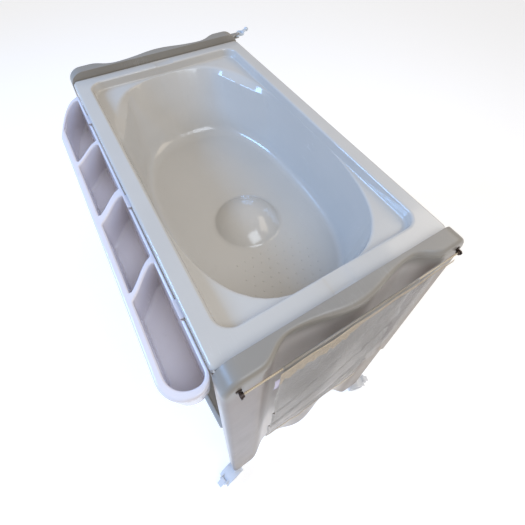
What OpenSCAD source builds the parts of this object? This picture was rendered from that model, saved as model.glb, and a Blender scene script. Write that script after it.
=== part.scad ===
// Bath and changing stand for a baby: two hollow end panels on braked castors carry a
// moulded bath, a side tray, a storage shelf and a fabric pocket.
// X runs along the bath, Y across it, Z up from the floor. Millimetres.

/* [Overall] */
// Height of the end panels' top above the floor
stand_h = 1015; // [900:1:1150]
// Distance between the end panels' inner faces
bath_bay = 842; // [760:1:960]
// Width of an end panel
panel_w = 504; // [460:1:560]

/* [End panels] */
// Thickness of a panel at its side posts
post_t = 36; // [30:1:46]
// Thickness of a panel in its flutes
flute_t = 11; // [8:0.5:16]
// Thickness of a panel at its middle lobe
lobe_t = 31; // [24:1:36]
// Distance of each flute from the panel's middle
flute_y = 127; // [110:1:140]
// Distance from the panel's middle at which a side post starts
post_y = 190; // [175:1:205]
// Moulded wall of the hollow panels
panel_wall = 3; // [2.5:0.1:4]
// Rounding of the panel's upper corners
corner_r = 34; // [10:1:60]
// Width of a leg at the floor end
foot_w = 56; // [48:1:80]
// Height of the arches in the lower edge above the foot
arch_h = 68; // [40:1:160]
// Height of the middle lobe in the lower edge above the foot
lobe_h = 16; // [5:1:60]

/* [Bath] */
// Depth of the bath's rim below the panels' top
rim_drop = 22; // [10:1:40]
// Width of the bath over its rim
bath_w = 500; // [460:1:540]
// Moulded wall of the bath
bath_wall = 3; // [2.5:0.1:4]
// Thickness of the rim
rim_t = 4; // [3:0.1:6]
// Depth of the recess that the changing mat sits in
recess_h = 25; // [15:1:40]
// Width of the rim beside the recess
rim_side = 37; // [30:1:50]
// Width of the rim at the foot end
rim_foot = 43; // [38:1:60]
// Width of the rim at the head end
rim_head = 32; // [28:1:50]
// Rounding of the recess corners
recess_r = 32; // [15:1:60]
// Depth of the tub below the recess
tub_h = 170; // [120:1:230]
// Length of the tub's floor
floor_l = 628; // [500:1:660]
// Width of the tub's floor
floor_w = 380; // [300:1:390]
// Slope that the backrest takes from the tub's length
backrest = 105; // [60:1:140]
// Depth of the skirt that hangs from the rim's long edges
skirt_h = 22; // [18:1:40]
// Radius of the seat hump on the tub's floor
hump_r = 82; // [60:1:95]
// Height of the seat hump
hump_h = 34; // [20:1:45]
// Radius of the drain's bore
drain_r = 11; // [8:0.5:14]

/* [Tray] */
// Reach of the tray from the bath's middle line
tray_reach = 325; // [310:1:350]
// Depth of the tray
tray_h = 86; // [60:1:110]
// Drop of the tray's edge below the bath's rim
tray_drop = 21; // [18:1:30]
// Length of the tray
tray_l = 814; // [700:1:830]
// Wall of the tray
tray_wall = 3; // [2:0.1:4]
// Width of the tray's flat border
tray_border = 13; // [8:0.5:16]
// Rounding of the tray's foot end beside the bath
tray_back_r = 25; // [15:1:28]
// Length over which the tray's head end narrows
tray_taper = 150; // [100:1:180]

/* [Shelf and rails] */
// Height of the shelf's edge above the floor
shelf_z = 595; // [450:1:650]
// Depth of the shelf
shelf_h = 62; // [40:1:80]
// Width of the shelf at its ends
shelf_w = 510; // [440:1:520]
// How far each long side of the shelf bows out
shelf_bow = 14; // [6:0.5:20]
// Wall of the shelf
shelf_wall = 3; // [2:0.1:4]
// Width of a rail
rail_w = 14; // [12:1:20]
// Height of a rail
rail_h = 30; // [20:1:36]
// Wall of a rail
rail_wall = 1.5; // [1.2:0.1:2.5]
// Distance of each upper rail from the middle line
rail_y = 237; // [230:1:238]
// Distance of each shelf rail from the middle line
shelf_rail_y = 150; // [100:1:200]

/* [Castors] */
// Radius of a wheel
wheel_r = 28; // [22:1:32]
// Width of a wheel
wheel_w = 13; // [8:0.5:16]
// Distance of the axle behind the stem
trail = 30; // [20:1:34]
// Radius of a castor's stem
stem_r = 5; // [4:0.5:6]
// Length of stem inside the leg
stem_l = 36; // [25:1:50]
// Distance of each castor's stem from the middle line
stem_y = 230; // [222:1:234]
// Direction that the castors on the tray side trail in
castor_turn_front = -80; // [-90:1:-60]
// Direction that the castors on the other side trail in
castor_turn_rear = 75; // [60:1:90]

/* [Towel hook] */
// Distance from the hook's pivot to its tip
hook_l = 52; // [44:1:60]
// Turn of the hook from straight out
hook_turn = 28; // [0:1:35]

/* [Pocket] */
// Height of the pocket's cord above the floor
cord_z = 986; // [900:1:1000]
// Radius of the pocket's cord
cord_r = 1.6; // [1:0.1:2.5]
// Width of the pocket
pocket_w = 360; // [250:1:380]
// Length of the pocket
pocket_h = 540; // [300:1:560]
// Thickness of the hanging pocket at its foot
pocket_t = 17; // [10:1:18]

/* [Hidden] */
$fn = 48;

fit_gap = 0.3;       // between pieces that only meet
slip_gap = 0.1;      // around a push fit
run_gap = 0.05;      // around a turning pin
over = 1;            // how far a cut runs past the face it leaves

half_bay = bath_bay / 2;
rim_z = stand_h - rim_drop;
recess_z = rim_z - recess_h;
floor_z = recess_z - tub_h;
half_bath = bath_bay / 2 - 1;
half_w = bath_w / 2;
half_panel = panel_w / 2;
half_recess_w = half_w - rim_side;
recess_x0 = -half_bath + rim_head;
recess_x1 = half_bath - rim_foot;

// castor heights
axle_r = 3;
hood_gap = 2;
fender_t = 3;
hood_r = wheel_r + hood_gap + fender_t;
hood_top = 2 * wheel_r + hood_gap + fender_t + 12;
flange_t = 1.5;
foot_z = hood_top + 0.5 + flange_t;
stem_x = half_bay + post_t / 2;
socket_r = stem_r + 3.4;
web_t = 9.2;
wheel_in = web_t / 2 + 0.9;
hood_half = wheel_in + wheel_w + 2.6;

// the towel hook
hook_z = stand_h - 12;
hook_pin_r = 2.5;
hook_eye_r = 6.5;
hook_tip_r = 7;
hook_ring_r = 12.5;
hook_ring_w = 5;
hook_ring_y = 18;
hook_t = 7;
hook_x = -(half_bay + hook_eye_r);
hook_y = half_panel + hook_eye_r + 0.5;
hook_reach = hook_y + hook_l * cos(hook_turn) + hook_tip_r;

// the middle of the whole stand across its width is Y = 0
y_shift = (tray_reach - hook_reach) / 2;

// corners: [name, side of X, side of Y, direction that the castor trails in]
CORNERS = [["right_front", 1, -1, castor_turn_front],
    ["right_rear", 1, 1, castor_turn_rear],
    ["left_front", -1, -1, 180 - castor_turn_front],
    ["left_rear", -1, 1, 180 - castor_turn_rear]];

white = [0.93, 0.92, 0.91];
warm_white = [0.90, 0.88, 0.86];
pale_blue = [0.82, 0.87, 0.93];
steel = [0.75, 0.76, 0.78];
dark = [0.20, 0.17, 0.16];
fabric = [0.86, 0.84, 0.80];
lace = [0.80, 0.72, 0.60];

module place() {
    translate([0, y_shift, 0]) children();
}

// ---- end panels ---------------------------------------------------------------------

function blend(a, b, t) = a + (b - a) * (1 - cos(180 * min(max(t, 0), 1))) / 2;

// thickness of the panel at a distance y from its middle
function panel_t(y) = abs(y) < flute_y ? blend(lobe_t, flute_t, abs(y) / flute_y)
    : blend(flute_t, post_t, (abs(y) - flute_y) / (post_y - flute_y));

panel_steps = 54;

// plan of a panel, thinner by the inset on every side
module panel_plan(inset) {
    half = half_panel - inset;
    polygon(concat(
        [[half_bay + inset, half], [half_bay + inset, -half]],
        [for (i = [0 : panel_steps])
            let (y = -half + 2 * half * i / panel_steps)
            [half_bay + panel_t(y) - inset, y]]));
}

// height of the panel's lower edge at a distance y from its middle
leg_y = half_panel - foot_w;
arch_y = flute_y - 15;
function lower_edge(y) = abs(y) < arch_y
    ? foot_z + blend(lobe_h, arch_h, abs(y) / arch_y)
    : foot_z + blend(arch_h, 0, (abs(y) - arch_y) / (leg_y - arch_y));

edge_steps = 36;

// elevation of a panel, as seen along X
module panel_front(inset) {
    half = half_panel - inset;
    top = stand_h - inset;
    r = corner_r - inset;
    polygon(concat(
        [for (a = [0 : 10 : 90]) [half - r + r * cos(a), top - r + r * sin(a)]],
        [for (a = [90 : 10 : 180]) [-half + r + r * cos(a), top - r + r * sin(a)]],
        [[-half, foot_z + inset], [-leg_y - inset, foot_z + inset]],
        [for (i = [1 : edge_steps - 1])
            let (y = -leg_y + 2 * leg_y * i / edge_steps) [y, lower_edge(y) + inset]],
        [[leg_y + inset, foot_z + inset], [half, foot_z + inset]]));
}

module panel_block(inset, foot_cut) {
    intersection() {
        translate([0, 0, foot_z - over]) linear_extrude(stand_h) panel_plan(inset);
        translate([half_bay - over, 0, 0]) rotate([90, 0, 90])
            linear_extrude(post_t + 2 * over) panel_front(inset);
        translate([0, -half_panel, foot_z + foot_cut - over])
            cube([bath_bay, panel_w, stand_h]);
    }
}

ledge_w = 20;
ledge_t = 14;
collar_wall = 4;
collar_l = 22;
lower_rail_z = shelf_z - shelf_h - rail_h;
upper_rail_z = rim_z - skirt_h - 11 - rail_h;

// a collar round a rail's end, its upper wall as thick as roof
module rail_collar(y, z, roof) {
    difference() {
        translate([half_bay - collar_l, y - rail_w / 2 - collar_wall, z - collar_wall])
            cube([collar_l, rail_w + 2 * collar_wall, rail_h + collar_wall + roof]);
        translate([half_bay - collar_l - over, y - rail_w / 2 - slip_gap, z - slip_gap])
            cube([collar_l + over, rail_w + 2 * slip_gap, rail_h + 2 * slip_gap]);
        translate([screw_x, y, z - collar_wall - over])
            cylinder(r = screw_r + slip_gap, h = collar_wall + 2 * over);
    }
}

screw_r = 2;
screw_x = half_bay - 12;
screw_head_r = 4;
screw_head_h = 2.4;

module end_panel() {
    difference() {
        union() {
            difference() {
                panel_block(0, over);
                panel_block(panel_wall, stem_l + 8);
            }
            translate([half_bay - ledge_w, -half_recess_w + 8, rim_z - rim_t - ledge_t])
                cube([ledge_w, 2 * half_recess_w - 16, ledge_t]);
            for (s = [-1, 1]) {
                rail_collar(s * rail_y, upper_rail_z, collar_wall);
                // open above, where the shelf comes down on the rail
                rail_collar(s * shelf_rail_y, lower_rail_z, -fit_gap);
            }
        }
        for (s = [-1, 1])
            translate([stem_x, s * stem_y, foot_z - over])
                cylinder(r = socket_r + slip_gap, h = stem_l + 2 * over);
    }
}

module end_panel_right() {
    color(warm_white) place() end_panel();
}

module end_panel_left() {
    color(warm_white) place() union() {
        mirror([1, 0, 0]) end_panel();
        hook_clevis();
    }
}

// ---- bath ---------------------------------------------------------------------------

// a rounded rectangle from x0 to x1, made of exact arcs
module rounded_plan(x0, x1, half, r) {
    translate([x0 + r, -half]) square([x1 - x0 - 2 * r, 2 * half]);
    translate([x0, -half + r]) square([x1 - x0, 2 * half - 2 * r]);
    for (x = [x0 + r, x1 - r], y = [-half + r, half - r]) translate([x, y]) circle(r);
}

oval_power = 3;
function spow(v) = sign(v) * pow(abs(v), 2 / oval_power);

// the tub's oval: an ellipse squared up towards its corners
module oval(x0, x1, half) {
    a = (x1 - x0) / 2;
    polygon([for (i = [0 : 5 : 355]) [x0 + a + a * spow(cos(i)), half * spow(sin(i))]]);
}

tub_x0 = recess_x0 + 8;
tub_x1 = recess_x1 - 2;
floor_x0 = tub_x0 + backrest;
floor_x1 = min(floor_x0 + floor_l, tub_x1 - 18);

module tub_form(grow, drop) {
    hull() {
        translate([0, 0, recess_z - 0.1]) linear_extrude(0.1)
            oval(tub_x0 - grow, tub_x1 + grow, half_recess_w - 1 + grow);
        translate([0, 0, floor_z - drop]) linear_extrude(0.1)
            oval(floor_x0 - grow, floor_x1 + grow, floor_w / 2 + grow);
    }
}

hump_x = 88;
hump_sphere = (hump_r * hump_r + hump_h * hump_h) / (2 * hump_h);

module hump(shrink) {
    intersection() {
        translate([hump_x, 0, floor_z + hump_h - hump_sphere]) sphere(hump_sphere - shrink);
        translate([hump_x, 0, floor_z - bath_wall - 0.5]) cylinder(r = hump_r + 4, h = hump_h + 5);
    }
}

drain_x = floor_x1 - drain_r - 16;
drain_seat_r = drain_r + 4;
tail_l = 34;
slot_x = [-260, 40, 300];
slot_w = 44;
slot_h = 14;
slot_z = rim_z - skirt_h + 3;
notch_w = 52;
notch_h = 1.5;

module bath_tub() {
    color(white) place() difference() {
        union() {
            difference() {
                union() {
                    translate([0, 0, rim_z - rim_t]) linear_extrude(rim_t)
                        rounded_plan(-half_bath, half_bath, half_w, 12);
                    // skirt under the long edges
                    for (s = [-1, 1])
                        translate([-half_bath + 12, s * (half_w - 1.5) - 1.5, rim_z - skirt_h])
                            cube([2 * half_bath - 24, 3, skirt_h - 1]);
                    // recess for the changing mat
                    translate([0, 0, recess_z - bath_wall]) linear_extrude(recess_h)
                        rounded_plan(recess_x0 - bath_wall, recess_x1 + bath_wall,
                            half_recess_w + bath_wall, recess_r + bath_wall);
                }
                translate([0, 0, recess_z]) linear_extrude(recess_h + over)
                    rounded_plan(recess_x0, recess_x1, half_recess_w, recess_r);
                // shallow steps in the middle of both end rims
                translate([recess_x1 - over, -notch_w / 2, rim_z - notch_h])
                    cube([rim_foot + 2 * over, notch_w, notch_h + over]);
                translate([-half_bath - over, -notch_w / 2, rim_z - notch_h])
                    cube([rim_head + 2 * over, notch_w, notch_h + over]);
                // slots that the tray hooks into
                for (x = slot_x)
                    translate([x - slot_w / 2, -half_w - over, slot_z])
                        cube([slot_w, 3 + 2 * over, slot_h]);
                translate([0, 0, -0.05]) tub_form(0, 0);
                translate([0, 0, recess_z - 1]) linear_extrude(2)
                    oval(tub_x0, tub_x1, half_recess_w - 1);
            }
            difference() {
                tub_form(bath_wall, bath_wall);
                tub_form(0, 0);
                translate([0, 0, recess_z - 1]) linear_extrude(2)
                    oval(tub_x0, tub_x1, half_recess_w - 1);
            }
            difference() {
                hump(0);
                hump(bath_wall);
            }
            translate([drain_x, 0, floor_z - 6]) cylinder(r = drain_seat_r + 5, h = 6);
        }
        // hollow under the hump
        hump(bath_wall);
        translate([drain_x, 0, floor_z - 7]) cylinder(r = drain_r, h = 9);
        translate([drain_x, 0, floor_z - 2]) cylinder(r = drain_seat_r, h = 4);
    }
}

module drain_plug() {
    color(pale_blue) place() translate([drain_x, 0, floor_z]) {
        translate([0, 0, -2 + 0.05]) cylinder(r = drain_seat_r - 1, h = 3);
        translate([0, 0, -5.5]) cylinder(r = drain_r - run_gap, h = 4);
        translate([-2, -6, 0.5]) cube([4, 12, 9]);
    }
}

module drain_outlet() {
    color(white) place() translate([drain_x, 0, floor_z - 6]) difference() {
        union() {
            translate([0, 0, -4]) cylinder(r = drain_seat_r + 5, h = 4);
            translate([0, 0, -tail_l]) cylinder(r = drain_r + 2.5, h = tail_l);
        }
        translate([0, 0, -tail_l - over]) cylinder(r = drain_r - 1, h = tail_l + 2 * over);
    }
}

// ---- accessory tray -----------------------------------------------------------------

tray_x1 = half_bay + 10;
tray_x0 = tray_x1 - tray_l;
tray_z = rim_z - tray_drop;
tray_in = half_w + 3;

// outline of the tray: swept back at the head end and a full round at the foot end
module tray_plan(inset) {
    out = tray_reach - inset;
    back = tray_in + inset;
    r_back = tray_back_r - inset;
    r_out = tray_reach - tray_in - tray_back_r - inset;
    polygon(concat(
        [for (i = [0 : 8])
            [tray_x0 + inset * 1.4 + (tray_taper - inset * 0.6) * pow(i / 8, 2),
                -back - (out - back) * i / 8]],
        [for (a = [90 : -6 : 0])
            [tray_x1 - inset - r_out + r_out * cos(a), -out + r_out - r_out * sin(a)]],
        [for (a = [0 : 6 : 90])
            [tray_x1 - inset - r_back + r_back * cos(a), -back - r_back + r_back * sin(a)]]));
}

divider_lean = 58;
divider_x = [-176, 2, 186];
divider_w = [14, 22, 15];

// a divider's middle line: an S from the inner to the outer wall
function divider_at(x, t) = blend(x, x + divider_lean, t);

module divider(x, w) {
    n = 12;
    y0 = -tray_in;
    y1 = -tray_reach;
    polygon(concat(
        [for (i = [0 : n]) [divider_at(x, i / n) - w / 2, blend_line(y0, y1, i / n)]],
        [for (i = [n : -1 : 0]) [divider_at(x, i / n) + w / 2, blend_line(y0, y1, i / n)]]));
}

function blend_line(a, b, t) = a + (b - a) * t;

tray_hook_t = 4;
tray_hook_w = slot_w - 8;

module accessory_tray() {
    color(white) place() {
        difference() {
            union() {
                translate([0, 0, tray_z - tray_h]) linear_extrude(tray_h) tray_plan(6);
                translate([0, 0, tray_z - 8]) linear_extrude(8) tray_plan(0);
            }
            difference() {
                translate([0, 0, tray_z - tray_h + tray_wall]) linear_extrude(tray_h)
                    intersection() {
                        tray_plan(6 + tray_wall);
                        translate([tray_x0, -tray_reach + tray_border])
                            square([tray_l, tray_reach - tray_border]);
                    }
                for (i = [0 : 2])
                    translate([0, 0, tray_z - tray_h]) linear_extrude(tray_h)
                        divider(divider_x[i], divider_w[i]);
            }
            // the rolled edge is hollow underneath
            translate([0, 0, tray_z - 8 - over]) linear_extrude(8 + over - tray_wall)
                difference() {
                    tray_plan(tray_wall);
                    tray_plan(6 - 0.5);
                }
        }
        for (x = slot_x) {
            translate([x - tray_hook_w / 2, -tray_in - 4, slot_z])
                cube([tray_hook_w, tray_in - half_w + 4 + 8, tray_hook_t]);
            translate([x - tray_hook_w / 2, -tray_in - 4, tray_z - 8])
                cube([tray_hook_w, 4, slot_z - tray_z + 8 + tray_hook_t]);
            translate([x - tray_hook_w / 2, -half_w + 5, slot_z - 8])
                cube([tray_hook_w, 3, 8 + tray_hook_t]);
        }
    }
}

// ---- shelf, rails and their screws --------------------------------------------------

shelf_half_l = half_bay - 1;
bow_r = (shelf_half_l * shelf_half_l + shelf_bow * shelf_bow) / (2 * shelf_bow);

// plan of the shelf: its long sides are shallow arcs
module shelf_plan(inset) {
    half_l = shelf_half_l - inset;
    intersection() {
        translate([-half_l, -shelf_w]) square([2 * half_l, 2 * shelf_w]);
        translate([0, shelf_w / 2 + shelf_bow - bow_r]) circle(bow_r - inset, $fn = 360);
        translate([0, -shelf_w / 2 - shelf_bow + bow_r]) circle(bow_r - inset, $fn = 360);
    }
}

shelf_edge = 6;

module storage_shelf() {
    color(white) place() difference() {
        union() {
            translate([0, 0, shelf_z - shelf_h]) linear_extrude(shelf_h) shelf_plan(shelf_edge);
            translate([0, 0, shelf_z - shelf_wall]) linear_extrude(shelf_wall) shelf_plan(0);
        }
        translate([0, 0, shelf_z - shelf_h + shelf_wall]) linear_extrude(shelf_h)
            shelf_plan(shelf_edge + shelf_wall);
        for (x = shelf_screw_x, s = [-1, 1])
            translate([x, s * shelf_rail_y, shelf_z - shelf_h - over])
                cylinder(r = screw_r + slip_gap, h = shelf_wall + 2 * over);
    }
}

shelf_screw_x = [-300, 300];

module rail(y, z, holes) {
    l = half_bay - slip_gap;
    translate([0, y_shift + y, z]) difference() {
        translate([-l, -rail_w / 2, 0]) cube([2 * l, rail_w, rail_h]);
        translate([-l - over, -rail_w / 2 + rail_wall, rail_wall])
            cube([2 * (l + over), rail_w - 2 * rail_wall, rail_h - 2 * rail_wall]);
        for (s = [-1, 1]) translate([s * screw_x, 0, -over])
            cylinder(r = screw_r + slip_gap, h = rail_wall + 2 * over);
        if (holes)
            for (x = shelf_screw_x) translate([x, 0, rail_h - rail_wall - over])
                cylinder(r = screw_r + slip_gap, h = rail_wall + 2 * over);
    }
}

module upper_rail(s) { color(steel) rail(s * rail_y, upper_rail_z, false); }
module shelf_rail(s) { color(steel) rail(s * shelf_rail_y, lower_rail_z, true); }

// a screw driven upwards, its head under z = 0
module screw(l) {
    translate([0, 0, -screw_head_h]) cylinder(r = screw_head_r, h = screw_head_h);
    translate([0, 0, -0.5]) cylinder(r = screw_r, h = l + 0.5);
}

module rail_screws(side) {
    color(steel) place() for (s = [-1, 1]) {
        translate([side * screw_x, s * rail_y, upper_rail_z - collar_wall]) screw(11);
        translate([side * screw_x, s * shelf_rail_y, lower_rail_z - collar_wall]) screw(11);
    }
}

module shelf_screws() {
    color(steel) place() for (x = shelf_screw_x, s = [-1, 1])
        translate([x, s * shelf_rail_y, shelf_z - shelf_h + shelf_wall])
            mirror([0, 0, 1]) screw(11);
}

// ---- castors ------------------------------------------------------------------------

module at_castor(i) {
    c = CORNERS[i];
    translate([c[1] * stem_x, y_shift + c[2] * stem_y, 0]) rotate([0, 0, c[3]]) children();
}

module socket(i) {
    color(white) at_castor(i) difference() {
        union() {
            translate([0, 0, foot_z - flange_t]) cylinder(r = socket_r + 3, h = flange_t);
            translate([0, 0, foot_z - 0.5]) cylinder(r = socket_r, h = stem_l + 0.5);
        }
        translate([0, 0, foot_z - flange_t - over])
            cylinder(r = stem_r + run_gap, h = stem_l + flange_t + 2 * over);
    }
}

stem_low = 14;

module stem(i) {
    color(steel) at_castor(i) {
        translate([0, 0, hood_top - stem_low + 0.5])
            cylinder(r = stem_r, h = stem_low + foot_z - hood_top + stem_l - 3);
        translate([0, 0, foot_z + stem_l - 3])
            cylinder(r1 = stem_r, r2 = stem_r - 1.5, h = 2.5);
    }
}

pedal_x = trail + hood_r - 1;
pedal_z = wheel_r + 22;
pedal_r = 4.5;
ear_in = 9;
ear_t = 4;
trunnion_r = 2.5;

module hood(i) {
    color(pale_blue) at_castor(i) difference() {
        union() {
            // mudguard over both wheels
            intersection() {
                translate([trail, 0, wheel_r]) rotate([90, 0, 0])
                    cylinder(r = hood_r, h = 2 * hood_half, center = true);
                translate([trail - hood_r - over, -hood_half, wheel_r + 4])
                    cube([2 * (hood_r + over), 2 * hood_half, hood_r + over]);
            }
            translate([trail, 0, wheel_r]) rotate([90, 0, 0])
                cylinder(r = 12, h = web_t, center = true);
            // boss around the stem and its neck
            translate([0, 0, wheel_r + 14]) cylinder(r = stem_r + 7.5, h = hood_top - wheel_r - 14);
            translate([0, -stem_r - 5, hood_top - 20]) cube([trail - 6, 2 * stem_r + 10, 10]);
            // ears that carry the brake pedal
            for (s = [-1, 1])
                translate([0, s * (ear_in + ear_t / 2) + ear_t / 2, 0]) rotate([90, 0, 0])
                    linear_extrude(ear_t) {
                        translate([pedal_x, pedal_z]) circle(6);
                        polygon([[trail + 12, wheel_r + 27], [pedal_x, pedal_z + 6],
                            [pedal_x + 5, pedal_z - 3.3], [trail + 27, wheel_r + 14]]);
                    }
        }
        for (s = [-1, 1])
            translate([trail, s * (web_t / 2 + hood_half), wheel_r]) rotate([90, 0, 0])
                cylinder(r = wheel_r + hood_gap, h = 2 * hood_half, center = true);
        translate([0, 0, hood_top - stem_low]) cylinder(r = stem_r + run_gap, h = stem_low + over);
        translate([trail, 0, wheel_r]) rotate([90, 0, 0])
            cylinder(r = axle_r + 0.02, h = web_t + 2 * over, center = true);
        translate([pedal_x, 0, pedal_z]) rotate([90, 0, 0])
            cylinder(r = trunnion_r + run_gap, h = 2 * (ear_in + ear_t) + over, center = true);
    }
}

module axle(i) {
    color(steel) at_castor(i) translate([trail, 0, wheel_r]) rotate([90, 0, 0]) {
        cylinder(r = axle_r, h = 2 * (wheel_in + wheel_w + 0.6), center = true);
        for (s = [-1, 1]) translate([0, 0, s * (wheel_in + wheel_w + 1.2)])
            cylinder(r = axle_r + 2, h = 1.6, center = true);
    }
}

module wheel(i, s) {
    color(white) at_castor(i) translate([trail, s * (wheel_in + wheel_w / 2), wheel_r])
        rotate([90, 0, 0]) difference() {
            union() {
                cylinder(r = wheel_r - 1, h = wheel_w, center = true);
                cylinder(r = wheel_r, h = wheel_w - 2, center = true);
            }
            cylinder(r = axle_r + run_gap, h = wheel_w + over, center = true);
            translate([0, 0, -s * wheel_w / 2]) difference() {
                cylinder(r = wheel_r - 6, h = 5, center = true);
                cylinder(r = 8, h = 6, center = true);
            }
        }
}

module brake_pedal(i) {
    color(pale_blue) at_castor(i) translate([pedal_x, 0, pedal_z]) {
        rotate([90, 0, 0]) cylinder(r = pedal_r, h = 2 * ear_in - 1, center = true);
        rotate([90, 0, 0]) cylinder(r = trunnion_r, h = 2 * (ear_in + ear_t) - 0.4, center = true);
        rotate([90, 0, 0]) translate([0, 0, -ear_in + 0.5]) linear_extrude(2 * ear_in - 1)
            polygon([[0, -4.4], [17, -13], [19, -10], [15, -6], [3, 3]]);
    }
}

// ---- towel hook ---------------------------------------------------------------------

clevis_t = 3;
clevis_y = half_panel - corner_r + 12;

module hook_clevis() {
    for (z = [hook_z - hook_t / 2 - fit_gap - clevis_t, hook_z + hook_t / 2 + fit_gap])
        translate([0, 0, z]) difference() {
            union() {
                translate([hook_x - hook_eye_r, clevis_y, 0])
                    cube([2 * hook_eye_r, hook_y - clevis_y, clevis_t]);
                translate([hook_x, hook_y, 0]) cylinder(r = hook_eye_r, h = clevis_t);
            }
            translate([hook_x, hook_y, -over])
                cylinder(r = hook_pin_r + 0.02, h = clevis_t + 2 * over);
        }
}

module towel_hook() {
    color(pale_blue) place() translate([hook_x, hook_y, hook_z]) rotate([0, 0, hook_turn])
        difference() {
            union() {
                translate([0, 0, -hook_t / 2]) cylinder(r = hook_eye_r, h = hook_t);
                translate([0, hook_ring_y, -hook_t / 2]) cylinder(r = hook_ring_r, h = hook_t);
                translate([-hook_t / 2, hook_ring_y, -hook_t / 2])
                    cube([hook_t, hook_l - hook_ring_y, hook_t]);
                translate([0, hook_l, 0]) sphere(hook_tip_r);
            }
            translate([0, hook_ring_y, -hook_t / 2 - over])
                cylinder(r = hook_ring_r - hook_ring_w, h = hook_t + 2 * over);
            translate([0, 0, -hook_t / 2 - over])
                cylinder(r = hook_pin_r + run_gap, h = hook_t + 2 * over);
        }
}

module towel_hook_pin() {
    color(steel) place() translate([hook_x, hook_y, hook_z]) {
        stack = hook_t + 2 * (fit_gap + clevis_t);
        cylinder(r = hook_pin_r, h = stack, center = true);
        for (s = [-1, 1]) translate([0, 0, s * (stack / 2 + 0.6)])
            cylinder(r = hook_pin_r + 1.5, h = 1.2, center = true);
    }
}

// ---- pocket -------------------------------------------------------------------------

face_x = half_bay + post_t;
cord_x = face_x + 6;
pocket_y = 20;
pocket_top = cord_z - cord_r - fit_gap;
anchor_y = post_y + 38;
knot_in = 1.5;
knot_l = 3.2;

module storage_pocket() {
    color(fabric) place() translate([face_x + 1, pocket_y + pocket_w / 2, 0]) rotate([90, 0, 0])
        linear_extrude(pocket_w)
            polygon([[3, pocket_top], [6, pocket_top], [6, pocket_top - 60],
                [pocket_t, pocket_top - pocket_h + 90], [pocket_t - 4, pocket_top - pocket_h],
                [4, pocket_top - pocket_h], [0, pocket_top - pocket_h + 40]]);
}

module lace_trim() {
    color(lace) place()
        translate([face_x + 8, pocket_y - pocket_w / 2 - 14, pocket_top - 34])
            cube([1.6, pocket_w + 20, 34]);
}

module elastic_cord() {
    color(lace) place() translate([cord_x, 0, cord_z]) rotate([90, 0, 0])
        cylinder(r = cord_r, h = 2 * (anchor_y - knot_in - knot_l), center = true);
}

// a small metal hook screwed to a side post
module cord_hook(s) {
    color(dark) place() translate([face_x, s * anchor_y, cord_z]) {
        translate([0, 0, 4]) rotate([0, 90, 0]) cylinder(r = 5, h = 1.6);
        translate([0, 0, 4]) rotate([0, 90, 0]) cylinder(r = 1.6, h = cord_x - face_x);
        translate([cord_x - face_x, 0, 0]) rotate([90, 0, 0]) difference() {
            cylinder(r = 5.4, h = 3, center = true);
            cylinder(r = 3.4, h = 4, center = true);
        }
        translate([cord_x - face_x, -s * (knot_in + knot_l / 2), 0]) rotate([90, 0, 0])
            cylinder(r = 4.2, h = knot_l, center = true);
    }
}

// ---- the nodes ----------------------------------------------------------------------

end_panel_right();
end_panel_left();
bath_tub();
drain_plug();
drain_outlet();
accessory_tray();
storage_shelf();
upper_rail(-1);  // upper_rail_front
upper_rail(1);  // upper_rail_rear
shelf_rail(-1);  // shelf_rail_front
shelf_rail(1);  // shelf_rail_rear
rail_screws(1);  // rail_screws_right
rail_screws(-1);  // rail_screws_left
shelf_screws();
towel_hook();
towel_hook_pin();
storage_pocket();
lace_trim();
elastic_cord();
cord_hook(-1);  // cord_hook_front
cord_hook(1);  // cord_hook_rear
for (i = [0 : 3]) {
    corner = CORNERS[i][0];
    socket(i);
    stem(i);
    hood(i);
    axle(i);
    wheel(i, 1);
    wheel(i, -1);
    brake_pedal(i);
}
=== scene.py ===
"""Looks of the baby bath and changing stand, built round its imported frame. Metres, +Z up."""
import math

import bmesh
import bpy
from mathutils import Matrix, Vector


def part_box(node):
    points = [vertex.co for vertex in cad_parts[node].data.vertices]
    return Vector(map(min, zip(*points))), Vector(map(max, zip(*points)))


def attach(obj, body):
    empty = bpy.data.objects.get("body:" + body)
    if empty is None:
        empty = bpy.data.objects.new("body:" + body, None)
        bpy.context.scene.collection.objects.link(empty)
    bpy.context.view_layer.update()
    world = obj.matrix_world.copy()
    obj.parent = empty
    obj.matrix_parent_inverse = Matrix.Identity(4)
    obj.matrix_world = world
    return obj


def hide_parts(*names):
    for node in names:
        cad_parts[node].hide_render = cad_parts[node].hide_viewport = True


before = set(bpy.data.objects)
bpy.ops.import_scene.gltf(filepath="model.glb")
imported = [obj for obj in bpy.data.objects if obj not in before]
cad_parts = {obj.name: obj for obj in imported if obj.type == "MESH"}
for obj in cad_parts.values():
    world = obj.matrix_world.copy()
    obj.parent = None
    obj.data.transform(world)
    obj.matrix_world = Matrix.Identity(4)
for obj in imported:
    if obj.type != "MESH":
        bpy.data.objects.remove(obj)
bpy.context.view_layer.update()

MM = 0.001

# ---- places taken from the frame ----------------------------------------------------

bath_lo, bath_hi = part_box("bath_tub")
tray_lo, tray_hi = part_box("accessory_tray")
panel_lo, panel_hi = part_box("end_panel_right")
plug_lo, plug_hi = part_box("drain_plug")
cord_lo, cord_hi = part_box("elastic_cord")
rail_lo, rail_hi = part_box("upper_rail_front")
shelf_lo, shelf_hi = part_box("storage_shelf")
shelf_rail_lo, shelf_rail_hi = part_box("shelf_rail_front")
hook_pin_lo, hook_pin_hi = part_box("towel_hook_pin")

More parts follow.
